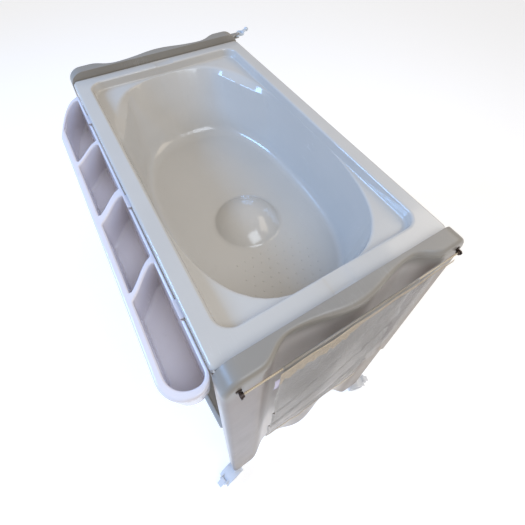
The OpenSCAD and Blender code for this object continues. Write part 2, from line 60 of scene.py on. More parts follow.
MIDDLE_Y = (bath_lo.y + bath_hi.y) / 2
RIM_Z = bath_hi.z
HALF_BATH = bath_hi.x
HALF_RIM = (bath_hi.y - bath_lo.y) / 2
PANEL_TOP = panel_hi.z
FOOT_Z = panel_lo.z
HALF_PANEL = (panel_hi.y - panel_lo.y) / 2
FACE_X = panel_hi.x
POST_T = 36 * MM
INNER_X = FACE_X - POST_T


# ---- modelling ----------------------------------------------------------------------

def deselect():
    if bpy.context.object and bpy.context.object.mode != "OBJECT":
        bpy.ops.object.mode_set(mode="OBJECT")
    bpy.ops.object.select_all(action="DESELECT")


def only(piece):
    deselect()
    piece.select_set(True)
    bpy.context.view_layer.objects.active = piece


def edit_all(piece, action="SELECT"):
    only(piece)
    bpy.ops.object.mode_set(mode="EDIT")
    bpy.ops.mesh.select_all(action=action)


def place(points):
    """Puts the selected vertices of the mesh being edited at the points, in order."""
    data = bpy.context.object.data
    mesh = bmesh.from_edit_mesh(data)
    for vert, point in zip([v for v in mesh.verts if v.select], points):
        vert.co = point
    bmesh.update_edit_mesh(data)


def reshape(move):
    """Moves each selected vertex of the mesh being edited to move(its place)."""
    data = bpy.context.object.data
    mesh = bmesh.from_edit_mesh(data)
    for vert in mesh.verts:
        if vert.select:
            vert.co = move(vert.co)
    bmesh.update_edit_mesh(data)


def start(name, points):
    """A new piece in edit mode: one closed loop of edges through the points."""
    deselect()
    bpy.ops.mesh.primitive_circle_add(vertices=len(points), fill_type="NOTHING", enter_editmode=True)
    bpy.context.object.name = name
    bpy.ops.mesh.select_all(action="SELECT")
    place(points)
    return bpy.context.object


def grow(points):
    """Extrudes the selected loop to the points."""
    bpy.ops.mesh.extrude_edges_move()
    place(points)


def loft(name, loops, close_start=False, close_end=False):
    """A skin over closed loops with the same number of points, each extruded from the last."""
    piece = start(name, loops[0])
    if close_start:
        bpy.ops.mesh.edge_face_add()
    for points in loops[1:]:
        grow(points)
    if close_end:
        bpy.ops.mesh.edge_face_add()
    deselect()
    return piece


def modify(piece, kind, **settings):
    """Adds a modifier and applies it."""
    only(piece)
    modifier = piece.modifiers.new(kind.title(), kind)
    for key, value in settings.items():
        setattr(modifier, key, value)
    bpy.ops.object.modifier_apply(modifier=modifier.name)
    return piece


def outward(piece):
    """Merges doubles and turns every face the right way out."""
    edit_all(piece)
    bpy.ops.mesh.remove_doubles(threshold=1e-6)
    bpy.ops.mesh.normals_make_consistent(inside=False)
    deselect()
    return piece


def smooth(piece, angle=40):
    """Smooth shading that keeps creases sharper than the angle, with flat faces left flat."""
    only(piece)
    bpy.ops.object.shade_smooth_by_angle(angle=math.radians(angle))
    modify(piece, "WEIGHTED_NORMAL", mode="FACE_AREA", keep_sharp=True)
    return piece


def settle(piece, move=(0, 0, 0)):
    """Moves a piece and leaves its object at the origin, with its place in its mesh."""
    only(piece)
    piece.location += Vector(move)
    bpy.ops.object.transform_apply(location=True, rotation=True, scale=True)
    return piece


def joined(name, pieces):
    only(pieces[0])
    for piece in pieces:
        piece.select_set(True)
    if len(pieces) > 1:
        bpy.ops.object.join()
    pieces[0].name = name
    return pieces[0]


def copied(piece, name):
    """A second piece of the same shape with its own mesh."""
    twin = piece.copy()
    twin.data = piece.data.copy()
    twin.name = name
    bpy.context.scene.collection.objects.link(twin)
    return twin


def block(name, low, high, rounding=1 * MM):
    """A box between two corners with rounded edges."""
    deselect()
    low, high = Vector(low), Vector(high)
    bpy.ops.mesh.primitive_cube_add(size=1, location=(low + high) / 2, scale=high - low)
    piece = bpy.context.object
    piece.name = name
    settle(piece)
    return modify(piece, "BEVEL", width=rounding, segments=3, limit_method="ANGLE")


def softened(node, rounding=0.8 * MM, segments=2, angle=35):
    """A copy of a CAD node with its flat faces merged and its edges rounded."""
    piece = copied(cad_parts[node], node + "_skin")
    for key in list(piece.keys()):
        del piece[key]
    piece.parent = None
    edit_all(piece)
    bpy.ops.mesh.customdata_custom_splitnormals_clear()
    bpy.ops.mesh.remove_doubles(threshold=1e-5)
    bpy.ops.mesh.dissolve_limited(angle_limit=math.radians(1))
    deselect()
    modify(piece, "BEVEL", width=rounding, segments=segments, limit_method="ANGLE",
           angle_limit=math.radians(angle), use_clamp_overlap=True)
    return smooth(piece)


def spun(name, profile, steps):
    """A closed profile of (radius, height) points spun once round the Y axis."""
    piece = start(name, [Vector((r, 0, h)) for r, h in profile])
    bpy.ops.mesh.spin(steps=steps, angle=2 * math.pi, center=(0, 0, 0), axis=(0, 0, 1))
    outward(piece)
    piece.rotation_euler = (math.pi / 2, 0, 0)
    return settle(piece)


# ---- outlines -----------------------------------------------------------------------

def arc(centre, radius, first, last, steps):
    """Points on an arc, angles in degrees."""
    angles = [math.radians(first + (last - first) * i / steps) for i in range(steps + 1)]
    return [Vector((centre[0] + radius * math.cos(a), centre[1] + radius * math.sin(a))) for a in angles]


def between(a, b, steps):
    """Points strictly between two points."""
    a, b = Vector(a), Vector(b)
    return [a.lerp(b, i / steps) for i in range(1, steps)]


def offset(points, distance):
    """An anticlockwise outline moved inwards by one distance, or by one for each point."""
    count = len(points)
    moved = []
    for i, point in enumerate(points):
        before = (point - points[i - 1]).normalized()
        after = (points[(i + 1) % count] - point).normalized()
        along = (before + after).normalized()
        reach = distance[i] if isinstance(distance, list) else distance
        moved.append(point + Vector((-along.y, along.x)) * reach / max(0.6, along.dot(before)))
    return moved


def lift(points, z):
    """Plan points at one height, or at one for each point."""
    heights = z if isinstance(z, list) else [z] * len(points)
    return [Vector((p.x, p.y, h)) for p, h in zip(points, heights)]


def mixed(a, b, t):
    return [p.lerp(q, t) for p, q in zip(a, b)]


def ease(a, b, t):
    t = min(max(t, 0), 1)
    return a + (b - a) * (1 - math.cos(math.pi * t)) / 2


def quarter(steps):
    """(inwards, down) on a quarter round of radius 1, from its upright edge to its level top."""
    angles = [math.pi / 2 * i / steps for i in range(steps + 1)]
    return [(1 - math.cos(a), 1 - math.sin(a)) for a in angles]


def bend(a, corner, b, t):
    """A point on the curve that leaves a for the corner and arrives at b from it."""
    return a.lerp(corner, t).lerp(corner.lerp(b, t), t)


# ---- bath ---------------------------------------------------------------------------

RIM_SIDE, RIM_FOOT, RIM_HEAD = 37 * MM, 43 * MM, 32 * MM
RECESS_H, RECESS_R = 25 * MM, 32 * MM
TUB_H = 170 * MM
RECESS_X = (-HALF_BATH + RIM_HEAD, HALF_BATH - RIM_FOOT)
RECESS_MIDDLE = sum(RECESS_X) / 2
HALF_RECESS = HALF_RIM - RIM_SIDE
TUB_X = (RECESS_X[0] + 8 * MM, RECESS_X[1] - 2 * MM)
FLOOR_X = (TUB_X[0] + 105 * MM, TUB_X[0] + 733 * MM)
HALF_FLOOR = 190 * MM
RECESS_Z = RIM_Z - RECESS_H
FLOOR_Z = RECESS_Z - TUB_H
HUMP_X, HUMP_R, HUMP_H = 88 * MM, 82 * MM, 34 * MM
NOTCH_HALF, NOTCH_H, NOTCH_X = 25 * MM, 2.2 * MM, 412 * MM
GUSSET = (Vector((-322 * MM, 138 * MM)), Vector((-196 * MM, 188 * MM)))
GUSSET_H = 15 * MM
SHELL_T = 2.8 * MM
RIM_GAP = {"head": 1.2 * MM, "foot": 1.8 * MM}
RIM_CORNER, LAND = 12 * MM, 8.4 * MM
EDGE_R = 6 * MM
WALL_DRAFT = 2.5 * MM
HUMP_SKIRT = HUMP_R + 9 * MM
CORNER_STEPS = 12
LONG_STEPS = 44
DOT_R, DOT_STEP = 2.1 * MM, 21 * MM
PLUG_SEAT_R = 15.4 * MM


def end_line(half):
    """Where the points of an end edge lie, close together at the sides of the notch."""
    near = [3 * MM, NOTCH_HALF - 1.2 * MM, NOTCH_HALF + 1.2 * MM]
    far = [NOTCH_HALF + (half - NOTCH_HALF) * f for f in (0.16, 0.32, 0.48, 0.64, 0.8, 1)]
    return [-v for v in reversed(near + far)] + near + far


def rounded_loop(x_range, half, radius):
    """A rounded rectangle, anticlockwise from the foot end, always with the same count of points."""
    x0, x1 = x_range
    inner = half - radius
    ends = end_line(inner)[1:-1]
    points = [Vector((x1, v)) for v in ends]
    points += arc((x1 - radius, inner), radius, 0, 90, CORNER_STEPS)
    points += between((x1 - radius, half), (x0 + radius, half), LONG_STEPS)
    points += arc((x0 + radius, inner), radius, 90, 180, CORNER_STEPS)
    points += [Vector((x0, -v)) for v in ends]
    points += arc((x0 + radius, -inner), radius, 180, 270, CORNER_STEPS)
    points += between((x0 + radius, -half), (x1 - radius, -half), LONG_STEPS)
    return points + arc((x1 - radius, -inner), radius, 270, 360, CORNER_STEPS)


RECESS_LOOP = rounded_loop(RECESS_X, HALF_RECESS, RECESS_R)
DIRECTIONS = [math.atan2(p.y, p.x - RECESS_MIDDLE) for p in RECESS_LOOP]


def oval_loop(x_range, half, power, origin):
    """An ellipse squared up towards its corners, met by rays from the origin in the recess's directions."""
    middle, reach = sum(x_range) / 2, (x_range[1] - x_range[0]) / 2
    points = []
    for angle in DIRECTIONS:
        c, s = math.cos(angle), math.sin(angle)
        near, far = 0, 2 * reach
        for _ in range(40):
            r = (near + far) / 2
            inside = abs((origin + r * c - middle) / reach) ** power + abs(r * s / half) ** power < 1
            near, far = (r, far) if inside else (near, r)
        points.append(Vector((origin + near * c, near * s)))
    return points


def cut_corners(points):
    """Brings the head end's corners in to a chord, which leaves a three-sided facet above it."""
    a, b = GUSSET
    along = (b - a).normalized()
    moved = []
    for p in points:
        q = Vector((p.x, abs(p.y)))
        beyond = (q - a).dot(Vector((-along.y, along.x)))
        if q.x < 0 and beyond > 0:
            q -= Vector((-along.y, along.x)) * beyond
        moved.append(Vector((q.x, math.copysign(q.y, p.y))))
    return moved


def rim_loops():
    """From the skirt's lower edge, over the rim and down the recess's wall."""
    outer = rounded_loop((RIM_GAP["head"] - HALF_BATH, HALF_BATH - RIM_GAP["foot"]), HALF_RIM, RIM_CORNER)
    long_side = [ease(0, 1, (abs(p.y) - HALF_RIM + 9 * MM) / (8 * MM)) for p in outer]
    skirt = [RIM_Z - 4 * MM - 18 * MM * f for f in long_side]
    round_r = [2.2 * MM + 3.5 * MM * f for f in long_side]
    skirt_edge = (2.6 * MM, 1 * MM), (1.8 * MM, 0.1 * MM), (0.9 * MM, 0.1 * MM), (0, 1 * MM)
    loops = [lift(offset(outer, inwards), [z + rise for z in skirt]) for inwards, rise in skirt_edge]
    for inwards, down in quarter(6):
        loops.append(lift(offset(outer, [r * inwards for r in round_r]), [RIM_Z - r * down for r in round_r]))
    for inwards in (7 * MM, LAND):
        loops.append(lift(offset(outer, inwards), RIM_Z))
    for part in (0.5, 0.97):
        loops.append(lift(mixed(offset(outer, LAND), offset(RECESS_LOOP, -EDGE_R), part), RIM_Z))
    for inwards, down in reversed(quarter(6)):
        loops.append(lift(offset(RECESS_LOOP, -EDGE_R * inwards), RIM_Z - EDGE_R * down))
    for points in loops:
        for p in points:
            if abs(p.y) < NOTCH_HALF and abs(p.x) < NOTCH_X + 0.5 * MM and p.z > RIM_Z - 10 * MM:
                p.z = min(p.z, RIM_Z - NOTCH_H)
    return loops


def tub_loops():
    """From the foot of the recess's wall over its floor, down the tub and over the hump."""
    wall = offset(RECESS_LOOP, WALL_DRAFT)
    centre = Vector((RECESS_MIDDLE, 0))
    oval = oval_loop(TUB_X, HALF_RECESS - 1 * MM, 3, RECESS_MIDDLE)
    top = [centre + (o - centre) * min(1, ((w - centre).length - 0.6 * MM) / (o - centre).length)
           for o, w in zip(oval, wall)]
    ledge = [(w - t).length for w, t in zip(wall, top)]
    low = oval_loop(FLOOR_X, HALF_FLOOR, 2.7, sum(FLOOR_X) / 2)
    shoulder = cut_corners(mixed(top, low, GUSSET_H / TUB_H))
    loops = []
    steps = 5
    corner = [min(9 * MM, 0.45 * w) for w in ledge]
    for i in range(steps + 1):
        loops.append([bend(Vector((w.x, w.y, RECESS_Z + c)), Vector((w.x, w.y, RECESS_Z)),
                           Vector((*w.lerp(t, c / max(d, c)), RECESS_Z)), i / steps)
                      for w, t, c, d in zip(wall, top, corner, ledge)])
    lip = [min(8 * MM, 0.45 * w + 0.5 * MM) for w in ledge]
    for i in range(steps + 1):
        loops.append([bend(Vector((*t.lerp(w, min(0.9, c / max(d, c))), RECESS_Z)), Vector((*t, RECESS_Z)),
                           Vector((*t, RECESS_Z)).lerp(Vector((*s, RECESS_Z - GUSSET_H)), 0.6 * c / GUSSET_H),
                           i / steps)
                      for w, t, s, c, d in zip(wall, top, shoulder, lip, ledge)])
    upper, lower = lift(shoulder, RECESS_Z - GUSSET_H), lift(low, FLOOR_Z)
    floor_centre = Vector((sum(FLOOR_X) / 2, 0, FLOOR_Z))
    radius = [26 * MM - 15 * MM * max(0, math.cos(a)) ** 4 for a in DIRECTIONS]
    loops.append(mixed(loops[-1], upper, 0.85))
    loops += [mixed(upper, lower, t) for t in (0, 0.03, 0.18, 0.36, 0.54, 0.7)]
    for i in range(7):
        loops.append([bend(q + (u - q) * r / (u - q).length, q, q + (floor_centre - q).normalized() * r, i / 6)
                      for u, q, r in zip(upper, lower, radius)])
    base = loops[-1]
    foot = [Vector((HUMP_X + HUMP_SKIRT * math.cos(a), HUMP_SKIRT * math.sin(a), FLOOR_Z))
            for a in DIRECTIONS]
    loops += [mixed(base, foot, t) for t in (0.3, 0.65, 1)]
    sphere = (HUMP_R ** 2 + HUMP_H ** 2) / (2 * HUMP_H)
    edge = math.asin(HUMP_R / sphere)
    for part in (0.93, 0.85, 0.72, 0.56, 0.4, 0.25, 0.1):
        angle = edge * part
        r, z = sphere * math.sin(angle), FLOOR_Z + HUMP_H - sphere * (1 - math.cos(angle))
        ring = [Vector((HUMP_X + r * math.cos(a), r * math.sin(a), z)) for a in DIRECTIONS]
        if part == 0.93:
            level = [f.lerp(k, 0.75) - Vector((0, 0, 0.75 * (k.z - f.z))) for f, k in zip(foot, ring)]
            loops += [[bend(f, c, k, t) for f, c, k in zip(foot, level, ring)] for t in (0.25, 0.5, 0.75)]
            ring = [bend(f, c, k, 1) for f, c, k in zip(foot, level, ring)]
        loops.append(ring)
    return loops


def facing(piece, direction=(0, 0, 1)):
    """Turns an open skin so that it faces mostly in the direction."""
    outward(piece)
    toward = Vector(direction)
    if sum(f.normal.dot(toward) * f.area for f in piece.data.polygons) < 0:
        edit_all(piece)
        bpy.ops.mesh.flip_normals()
        deselect()
    return piece


def cut(piece, cutter):
    """Takes the cutter's shape out of a closed piece."""
    modify(piece, "BOOLEAN", operation="DIFFERENCE", object=cutter, solver="EXACT")
    bpy.data.objects.remove(cutter)
    return piece


SLOT_X = (-260 * MM, 40 * MM, 300 * MM)


def anti_slip_dots():
    """Rows of low round bumps on the tub's floor, before the seat hump."""
    deselect()
    bpy.ops.mesh.primitive_uv_sphere_add(segments=12, ring_count=8, radius=DOT_R, scale=(1, 1, 0.42))
    dot = bpy.context.object
    settle(dot)
    dots = []
    for row in range(7):
        for place_in_row in range(-5, 6):
            x = 188 * MM + row * DOT_STEP
            y = place_in_row * DOT_STEP + (row % 2) * DOT_STEP / 2
            if abs(y) < 92 * MM:
                dots.append(copied(dot, "dot"))
                settle(dots[-1], (x, y + MIDDLE_Y, FLOOR_Z + 0.1 * MM))
    bpy.data.objects.remove(dot)
    return joined("anti_slip_dots", dots)


def make_bath():
    bath = loft("bath_shell", rim_loops() + tub_loops(), close_end=True)
    facing(bath)
    modify(bath, "SOLIDIFY", thickness=SHELL_T, offset=-1, use_even_offset=True, thickness_clamp=1)
    under = FLOOR_Z - SHELL_T
    edit_all(bath)
    reshape(lambda p: Vector((p.x, p.y, under)) if abs(p.z - under) < 1.2 * MM else p)
    deselect()
    settle(bath, (0, MIDDLE_Y, 0))
    slots = [block("slot", (x - 22 * MM, bath_lo.y - 2 * MM, RIM_Z - 19 * MM),
                   (x + 22 * MM, bath_lo.y + 8 * MM, RIM_Z - 5 * MM), 2 * MM) for x in SLOT_X]
    cut(bath, joined("slots", slots))
    seat_x = (plug_lo.x + plug_hi.x) / 2
    deselect()
    bpy.ops.mesh.primitive_cylinder_add(vertices=48, radius=PLUG_SEAT_R, depth=4 * MM,
                                        location=(seat_x, MIDDLE_Y, FLOOR_Z))
    seat = bpy.context.object
    settle(seat)
    cut(bath, seat)
    smooth(bath, 44)
    return bath


# ---- side tray ----------------------------------------------------------------------

TRAY_Z = RIM_Z - 21 * MM
TRAY_H = 86 * MM
TRAY_X = (tray_lo.x, tray_hi.x)
TRAY_IN, TRAY_OUT = HALF_RIM + 1.2 * MM, HALF_RIM + 75 * MM
TRAY_TAPER, TRAY_BACK_R = 150 * MM, 25 * MM
TRAY_BORDER = 13 * MM
DIVIDERS = ((-176 * MM, 14 * MM), (2 * MM, 22 * MM), (186 * MM, 15 * MM))
DIVIDER_LEAN = 58 * MM


def rounded_corners(points, radius, steps=6):
    """A closed outline with a curve of about the radius at each sharp corner, anticlockwise."""
    points = [p for i, p in enumerate(points) if (p - points[i - 1]).length > 0.01 * MM]
    count = len(points)
    done = []
    for i, p in enumerate(points):
        before, after = points[i - 1] - p, points[(i + 1) % count] - p
        if before.angle(after) > math.radians(150):
            done.append(p)
            continue
        reach = min(radius, before.length * 0.48, after.length * 0.48)
        a, b = p + before.normalized() * reach, p + after.normalized() * reach
        done += [bend(a, p, b, k / steps) for k in range(steps + 1)]
    return done


def evenly(points, count):
    """The closed outline redrawn with a number of points at equal distances."""
    lengths = [(points[(i + 1) % len(points)] - p).length for i, p in enumerate(points)]
    total, drawn, i, gone = sum(lengths), [], 0, 0
    for k in range(count):
        along = total * k / count
        while gone + lengths[i] < along:
            gone += lengths[i]
            i += 1
        drawn.append(points[i].lerp(points[(i + 1) % len(points)], (along - gone) / lengths[i]))
    return drawn


def tray_outline():
    """Anticlockwise from beside the bath: the head end, swept round to the front, and the D end."""
    depth = TRAY_OUT - TRAY_IN
    out_r = depth - TRAY_BACK_R
    points = [Vector((TRAY_X[0] + TRAY_TAPER * (i / 12) ** 2, -TRAY_IN - depth * i / 12)) for i in range(13)]
    points += arc((TRAY_X[1] - out_r, -TRAY_OUT + out_r), out_r, -90, 0, 14)
    points += arc((TRAY_X[1] - TRAY_BACK_R, -TRAY_IN - TRAY_BACK_R), TRAY_BACK_R, 0, 90, 10)
    return evenly(rounded_corners(points, 11 * MM), 260)


def compartments():
    """The four openings of the tray, from the head end, as rounded outlines."""
    inner, outer = -TRAY_IN - 5.2 * MM, -TRAY_OUT + TRAY_BORDER
    depth = TRAY_OUT - TRAY_IN

    def divider_side(x, width, side):
        """The S between inner and outer, cut from the divider's whole S."""
        line = []
        for i in range(13):
            y = inner + (outer - inner) * i / 12
            line.append(Vector((ease(x, x + DIVIDER_LEAN, (-TRAY_IN - y) / depth) + side * width / 2, y)))
        return line

    starts = [[Vector((TRAY_X[0] + TRAY_TAPER * ((-TRAY_IN - p.y) / depth) ** 2 + 17 * MM, p.y))
               for p in divider_side(0, 0, 1)]]
    starts += [divider_side(x, w, 1) for x, w in DIVIDERS]
    ends = [list(reversed(divider_side(x, w, -1))) for x, w in DIVIDERS]
    end_x = TRAY_X[1] - TRAY_BORDER
    out_r, back_r = 38 * MM, 16 * MM
    ends.append(arc((end_x - out_r, outer + out_r), out_r, -90, 0, 10)
                + arc((end_x - back_r, inner - back_r), back_r, 0, 90, 6))
    return [evenly(rounded_corners(a + b, 19 * MM, 8), 96) for a, b in zip(starts, ends)]


def make_tray():
    outline = tray_outline()
    away = [ease(0, 1, (-TRAY_IN - 1 * MM - p.y) / (8 * MM)) for p in outline]
    roll = [0.9 * MM + 3.9 * MM * a for a in away]
    loops = [lift(offset(outline, [r * inwards for r in roll]), [TRAY_Z - r * down for r in roll])
             for inwards, down in quarter(6)]
    loops.reverse()
    outside = (0, 7.2), (0.5, 8.4), (1.6, 8.9), (4.4, 9.0), (5.6, 9.8), (6, 11.5), (6.2, 30), (7.4, 46)
    loops += [lift(offset(outline, [i * MM * (0.35 + 0.65 * a) for a in away]), TRAY_Z - z * MM)
              for i, z in outside]
    for k in range(1, 9):
        a = math.pi / 2 * k / 8
        under = [(2.6 + 4.8 * w + (8 + 5 * w) * (1 - math.cos(a))) * MM for w in away]
        loops.append(lift(offset(outline, under), TRAY_Z - 46 * MM - (TRAY_H - 46 * MM) * math.sin(a)))
    tray = loft("tray_shell", loops, close_end=True)
    edge = 3.2 * MM
    for opening in compartments():
        edit_all(tray, "DESELECT")
        bpy.ops.mesh.primitive_circle_add(vertices=len(opening), fill_type="NOTHING")
        place(lift(offset(opening, -edge), TRAY_Z))
        for inwards, down in list(reversed(quarter(5)))[1:]:
            grow(lift(offset(opening, -edge * inwards), TRAY_Z - edge * down))
        floor_z, floor_r = TRAY_Z - TRAY_H + 3.5 * MM, 6.5 * MM
        wall = lift(offset(opening, 1.5 * MM), floor_z + floor_r)
        grow(wall)
        centre = [sum(wall, Vector((0, 0, 0))) / len(wall)] * len(wall)
        for k in range(1, 6):
            a = math.pi / 2 * k / 5
            grow(lift(mixed(wall, centre, 0.13 * (1 - math.cos(a))), floor_z + floor_r * (1 - math.sin(a))))
        for part in (0.16, 0.3, 0.6, 0.9):
            grow(lift(mixed(wall, centre, part), floor_z))
        bpy.ops.mesh.merge(type="CENTER")
        deselect()
    edit_all(tray, "DESELECT")
    bpy.ops.mesh.select_non_manifold(extend=False, use_wire=True, use_boundary=True)
    bpy.ops.mesh.fill(use_beauty=True)
    deselect()
    outward(tray)
    settle(tray, (0, MIDDLE_Y, 0))
    smooth(tray, 50)
    hooks = []
    for x in SLOT_X:
        low, high = (x - 18 * MM), (x + 18 * MM)
        y = MIDDLE_Y - HALF_RIM
        hooks.append(block("hook", (low, y - 7 * MM, RIM_Z - 19 * MM), (high, y + 8 * MM, RIM_Z - 15 * MM)))
        hooks.append(block("hook", (low, y + 5 * MM, RIM_Z - 27 * MM), (high, y + 8 * MM, RIM_Z - 15.2 * MM)))
        hooks.append(block("hook", (low, y - 7 * MM, TRAY_Z - 6 * MM), (high, y - 3 * MM, RIM_Z - 15.4 * MM)))
    return joined("tray_shell", [tray] + hooks)


# ---- end panels ---------------------------------------------------------------------

FLUTE_T, LOBE_T = 11 * MM, 31 * MM
FLUTE_Y, POST_Y = 127 * MM, 190 * MM
PANEL_CORNER = 34 * MM
LEG_Y, ARCH_Y = HALF_PANEL - 56 * MM, FLUTE_Y - 15 * MM
ARCH_H, LOBE_H = 68 * MM, 16 * MM
BAND_H, BAND_DEPTH = 22 * MM, 2.6 * MM
POST_FACE_Y, POST_FACE_Z = 183 * MM, (435 * MM, 565 * MM)
POST_FACE_DEPTH = 3.2 * MM


def panel_thickness(y):
    y = abs(y)
    if y < FLUTE_Y:
        return ease(LOBE_T, FLUTE_T, y / FLUTE_Y)
    return ease(FLUTE_T, POST_T, (y - FLUTE_Y) / (POST_Y - FLUTE_Y))


def panel_low(y):
    y = abs(y)
    if y < ARCH_Y:
        return FOOT_Z + ease(LOBE_H, ARCH_H, y / ARCH_Y)
    return FOOT_Z + ease(ARCH_H, 0, (y - ARCH_Y) / (LEG_Y - ARCH_Y))


def panel_high(y):
    beyond = max(0, abs(y) - (HALF_PANEL - PANEL_CORNER))
    return PANEL_TOP - PANEL_CORNER + math.sqrt(max(0, PANEL_CORNER ** 2 - beyond ** 2))


def from_edge(y, z):
    """Distance of a point of a panel's face from the face's outline."""
    corner = Vector((abs(y) - (HALF_PANEL - PANEL_CORNER), z - (PANEL_TOP - PANEL_CORNER)))
    if corner.x > 0 and corner.y > 0:
        above = PANEL_CORNER - corner.length
    else:
        above = min(PANEL_TOP - z, HALF_PANEL - abs(y))
    slope = (panel_low(abs(y) + MM) - panel_low(abs(y) - MM)) / (2 * MM)
    below = (z - panel_low(y)) / math.sqrt(1 + slope ** 2)
    return max(0, min(above, below, HALF_PANEL - abs(y)))


def panel_face(y, z):
    """How far a panel's outer face stands from its inner one."""
    thick = panel_thickness(y)
    post_low = POST_FACE_Z[0] + (POST_FACE_Z[1] - POST_FACE_Z[0]) * max(
        0, 1 - (abs(y) - POST_FACE_Y) / (HALF_PANEL - POST_FACE_Y)) ** 1.6
    on_post = ease(0, 1, (abs(y) - POST_FACE_Y) / (7 * MM) + 0.5) * ease(0, 1, (z - post_low) / (9 * MM) + 0.5)
    band = ease(0, 1, (panel_high(y) - z - BAND_H) / (7 * MM) + 0.5)
    surface = thick - POST_FACE_DEPTH * (1 - on_post) * band - BAND_DEPTH * band * (1 - on_post) * 0.4
    radius = min(9 * MM, 0.42 * thick)
    inside = min(from_edge(y, z), radius)
    return surface - (radius - math.sqrt(radius ** 2 - (radius - inside) ** 2))


def panel_lines():
    """Distances from one side edge to the other, close together at the edges."""
    near = [d * MM for d in (0, 0.4, 1.2, 2.4, 4, 6, 8.5, 12, 16, 21, 27)]
    middle = []
    y = near[-1] + 7 * MM
    while y < HALF_PANEL - 3 * MM:
        middle.append(y)
        y += 7 * MM
    half = near + middle
    return [-HALF_PANEL + d for d in half] + [0] + [HALF_PANEL - d for d in reversed(half)]


def panel_heights(y):
    """Heights of a column's points from the lower edge to the upper one."""
    low, high = panel_low(y), panel_high(y)
    near = [d * MM for d in (0, 0.4, 1.2, 2.4, 4, 6, 8.5, 12)]
    top = [d * MM for d in (0, 0.4, 1.2, 2.4, 4, 6, 8.5, 12, 16, 19, 22, 25, 29, 35)]
    count = 92
    z0, z1 = low + near[-1], high - top[-1]
    return [low + d for d in near] + [z0 + (z1 - z0) * i / count for i in range(1, count)] + \
        [high - d for d in reversed(top)]


def make_panel(name, side):
    columns = panel_lines()
    rows = len(panel_heights(0))
    deselect()
    bpy.ops.mesh.primitive_grid_add(x_subdivisions=len(columns) - 1, y_subdivisions=rows - 1,
                                    enter_editmode=True)
    panel = bpy.context.object
    panel.name = name
    heights = [panel_heights(y) for y in columns]
    bpy.ops.mesh.select_all(action="SELECT")
    place([Vector((side * (INNER_X + panel_face(y, heights[c][r])), y, heights[c][r]))
           for r in range(rows) for c, y in enumerate(columns)])
    bpy.ops.mesh.region_to_loop()
    bpy.ops.mesh.extrude_edges_move()
    reshape(lambda p: Vector((side * INNER_X, p.y, p.z)))
    bpy.ops.mesh.edge_face_add()
    deselect()
    outward(panel)
    modify(panel, "BEVEL", width=2.2 * MM, segments=3, limit_method="ANGLE", angle_limit=math.radians(60))
    settle(panel, (0, MIDDLE_Y, 0))
    return smooth(panel, 40)


# ---- fittings on the panels' inner faces --------------------------------------------

def mirrored_x(low, high, side):
    """A box's corners on the right side of the stand, or their mirror image on the left."""
    xs = sorted((side * low[0], side * high[0]))
    return (xs[0], low[1], low[2]), (xs[1], high[1], high[2])


def panel_fittings(name, side):
    """The ledge that the bath stands on and the four collars that hold the rails."""
    made = []
    places = [((INNER_X - 20 * MM, MIDDLE_Y - 205 * MM, RIM_Z - 18 * MM),
               (INNER_X + 1.5 * MM, MIDDLE_Y + 205 * MM, RIM_Z - 4.1 * MM), 2 * MM)]
    for box_low, box_high, roof in ((rail_lo, rail_hi, 4 * MM), (shelf_rail_lo, shelf_rail_hi, -0.3 * MM)):
        middle = (box_low.y + box_high.y) / 2 - MIDDLE_Y
        for y in (middle, -middle):
            places.append(((INNER_X - 22 * MM, MIDDLE_Y + y - 11 * MM, box_low.z - 4 * MM),
                           (INNER_X + 1.5 * MM, MIDDLE_Y + y + 11 * MM, box_high.z + roof), 1.6 * MM))
    for low, high, rounding in places:
        made.append(block("fitting", *mirrored_x(low, high, side), rounding))
    return smooth(joined(name, made), 35)


def hook_clevis():
    """Two plates with round ends that hold the towel hook's pin."""
    pin = (hook_pin_lo + hook_pin_hi) / 2
    r = 6.5 * MM
    outline = [Vector((pin.x + r, pin.y - 29.5 * MM)), *arc(pin.xy, r, 0, 180, 16),
               Vector((pin.x - r, pin.y - 29.5 * MM))]
    plates = []
    for low, high in ((-6.8, -3.8), (3.8, 6.8)):
        z0, z1, edge = pin.z + low * MM, pin.z + high * MM, 0.6 * MM
        plates.append(loft("plate", [lift(offset(outline, edge), z0), lift(outline, z0 + edge),
                                     lift(outline, z1 - edge), lift(offset(outline, edge), z1)],
                           close_start=True, close_end=True))
    return smooth(outward(joined("hook_clevis", plates)), 35)


# ---- shelf --------------------------------------------------------------------------

SHELF_Z, SHELF_H = shelf_hi.z, shelf_hi.z - shelf_lo.z
SHELF_BOW = 14 * MM


